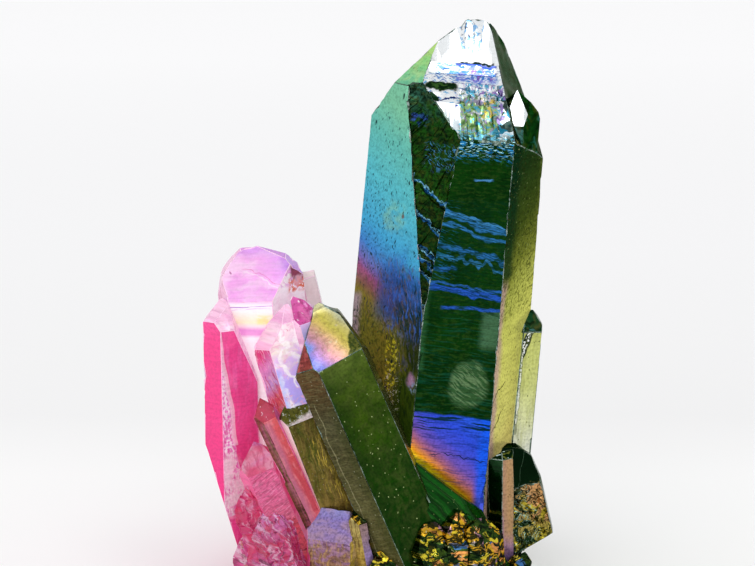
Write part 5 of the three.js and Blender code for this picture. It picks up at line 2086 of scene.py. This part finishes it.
@dataclass(frozen=True)
class Studio:
    """The floor, the light and the camera, in metres.

    Attributes:
        lamps: The lights.
        aim: The point that they face.
        floor_radius: Half the floor's width.
        floor_paint: The floor's grey from front to back, by the distance behind the object.
        room: Brightness of the surroundings in front, and what is added behind and overhead.
        backdrop: Brightness of the surroundings to the eye.
        camera_at: Where the camera stands.
        camera_tilt: How far it looks up from straight down, in degrees.
        lens: Its focal length, in mm.
        sensor: Its sensor's width, in mm.
    """

    lamps: tuple[Lamp, ...] = (
        Lamp("key", (0.150, -0.176, 0.425), 0.148, 0.13),
        Lamp("fill", (-0.25, -0.55, 0.10), 0.60, 1.0),
    )
    aim: Triple = (0, 0, 0.05)
    floor_radius: float = 3.0
    floor_paint: tuple = (
        (0.0, (0.92, 0.92, 0.92, 1)), (0.048, (0.92, 0.92, 0.92, 1)), (0.085, (0.86, 0.86, 0.865, 1)),
        (0.25, (0.90, 0.90, 0.91, 1)), (0.80, (0.97, 0.97, 0.98, 1)),
    )
    room: Triple = (0.72, 0.20, 0.15)
    backdrop: float = 0.86
    camera_at: Triple = (-0.0010, -0.26737, 0.09196)
    camera_tilt: float = 79.0
    lens: float = 100.0
    sensor: float = 36.0

    def build(self) -> None:
        """Set up everything round the object."""
        self._floor()
        self._world()
        for lamp in self.lamps:
            lamp.hang(self.aim)
        self._camera()

    def _floor(self) -> None:
        """Make the pale floor. It is white near the object and slightly darker behind it."""
        sheet = bmesh.new()
        bmesh.ops.create_circle(sheet, cap_ends=True, segments=64, radius=self.floor_radius)
        mesh = bpy.data.meshes.new("floor")
        sheet.to_mesh(mesh)
        sheet.free()
        white = bpy.data.materials.new("floor_white")
        recipe = Recipe(white)
        place = recipe.node("ShaderNodeTexCoord", output="Object")
        depth = recipe.node("ShaderNodeSeparateXYZ", None, {"Vector": place}, "Y")
        paint = recipe.node("ShaderNodeValToRGB", {"stops": self.floor_paint}, {0: depth})
        sockets = {"Base Color": paint, "Roughness": 0.85}
        recipe.finish(recipe.node("ShaderNodeBsdfPrincipled", None, sockets))
        mesh.materials.append(white)
        floor = bpy.data.objects.new("floor", mesh)
        bpy.context.collection.objects.link(floor)

    def _world(self) -> None:
        """Make the pale surroundings: even to the eye, and darker in front for the reflections."""
        world = bpy.data.worlds.new("studio")
        bpy.context.scene.world = world
        air = Recipe(world)
        sight = air.node("ShaderNodeTexCoord", output="Generated")
        depth = air.node("ShaderNodeSeparateXYZ", None, {"Vector": sight}, "Y")
        up = air.node("ShaderNodeSeparateXYZ", None, {"Vector": sight}, "Z")
        front, behind, overhead = self.room
        room = depth.step(-1.0, 0.6) * behind + up.step(-0.1, 0.7) * overhead + front
        seen = air.node("ShaderNodeLightPath", output="Is Camera Ray")
        strength = seen * self.backdrop + (1 - seen) * room
        sockets = {"Color": (1.0, 1.0, 1.0, 1), "Strength": strength}
        air.finish(air.node("ShaderNodeBackground", None, sockets))

    def _camera(self) -> None:
        """Place the camera."""
        lens = bpy.data.cameras.new("camera")
        lens.lens = self.lens
        lens.sensor_width = self.sensor
        lens.clip_start = 0.01
        made = bpy.data.objects.new("camera", lens)
        made.location = self.camera_at
        made.rotation_euler = (math.radians(self.camera_tilt), 0, 0)
        bpy.context.collection.objects.link(made)
        bpy.context.scene.camera = made
        bpy.context.scene.view_settings.view_transform = "Standard"


def main() -> None:
    """Build the cluster and its studio, and note the sizes."""
    logging.basicConfig(level=logging.INFO, format="%(message)s")
    small = [point(number, *row) for number, row in enumerate(POINTS)]
    cluster = Cluster((*CRYSTALS, *small, *MOUNDS)).build()
    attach(cluster, "root")
    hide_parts("quartz_cluster")
    LOG.info("%s: %d faces", cluster.name, len(cluster.data.polygons))
    Studio().build()


if __name__ == "__main__":
    main()
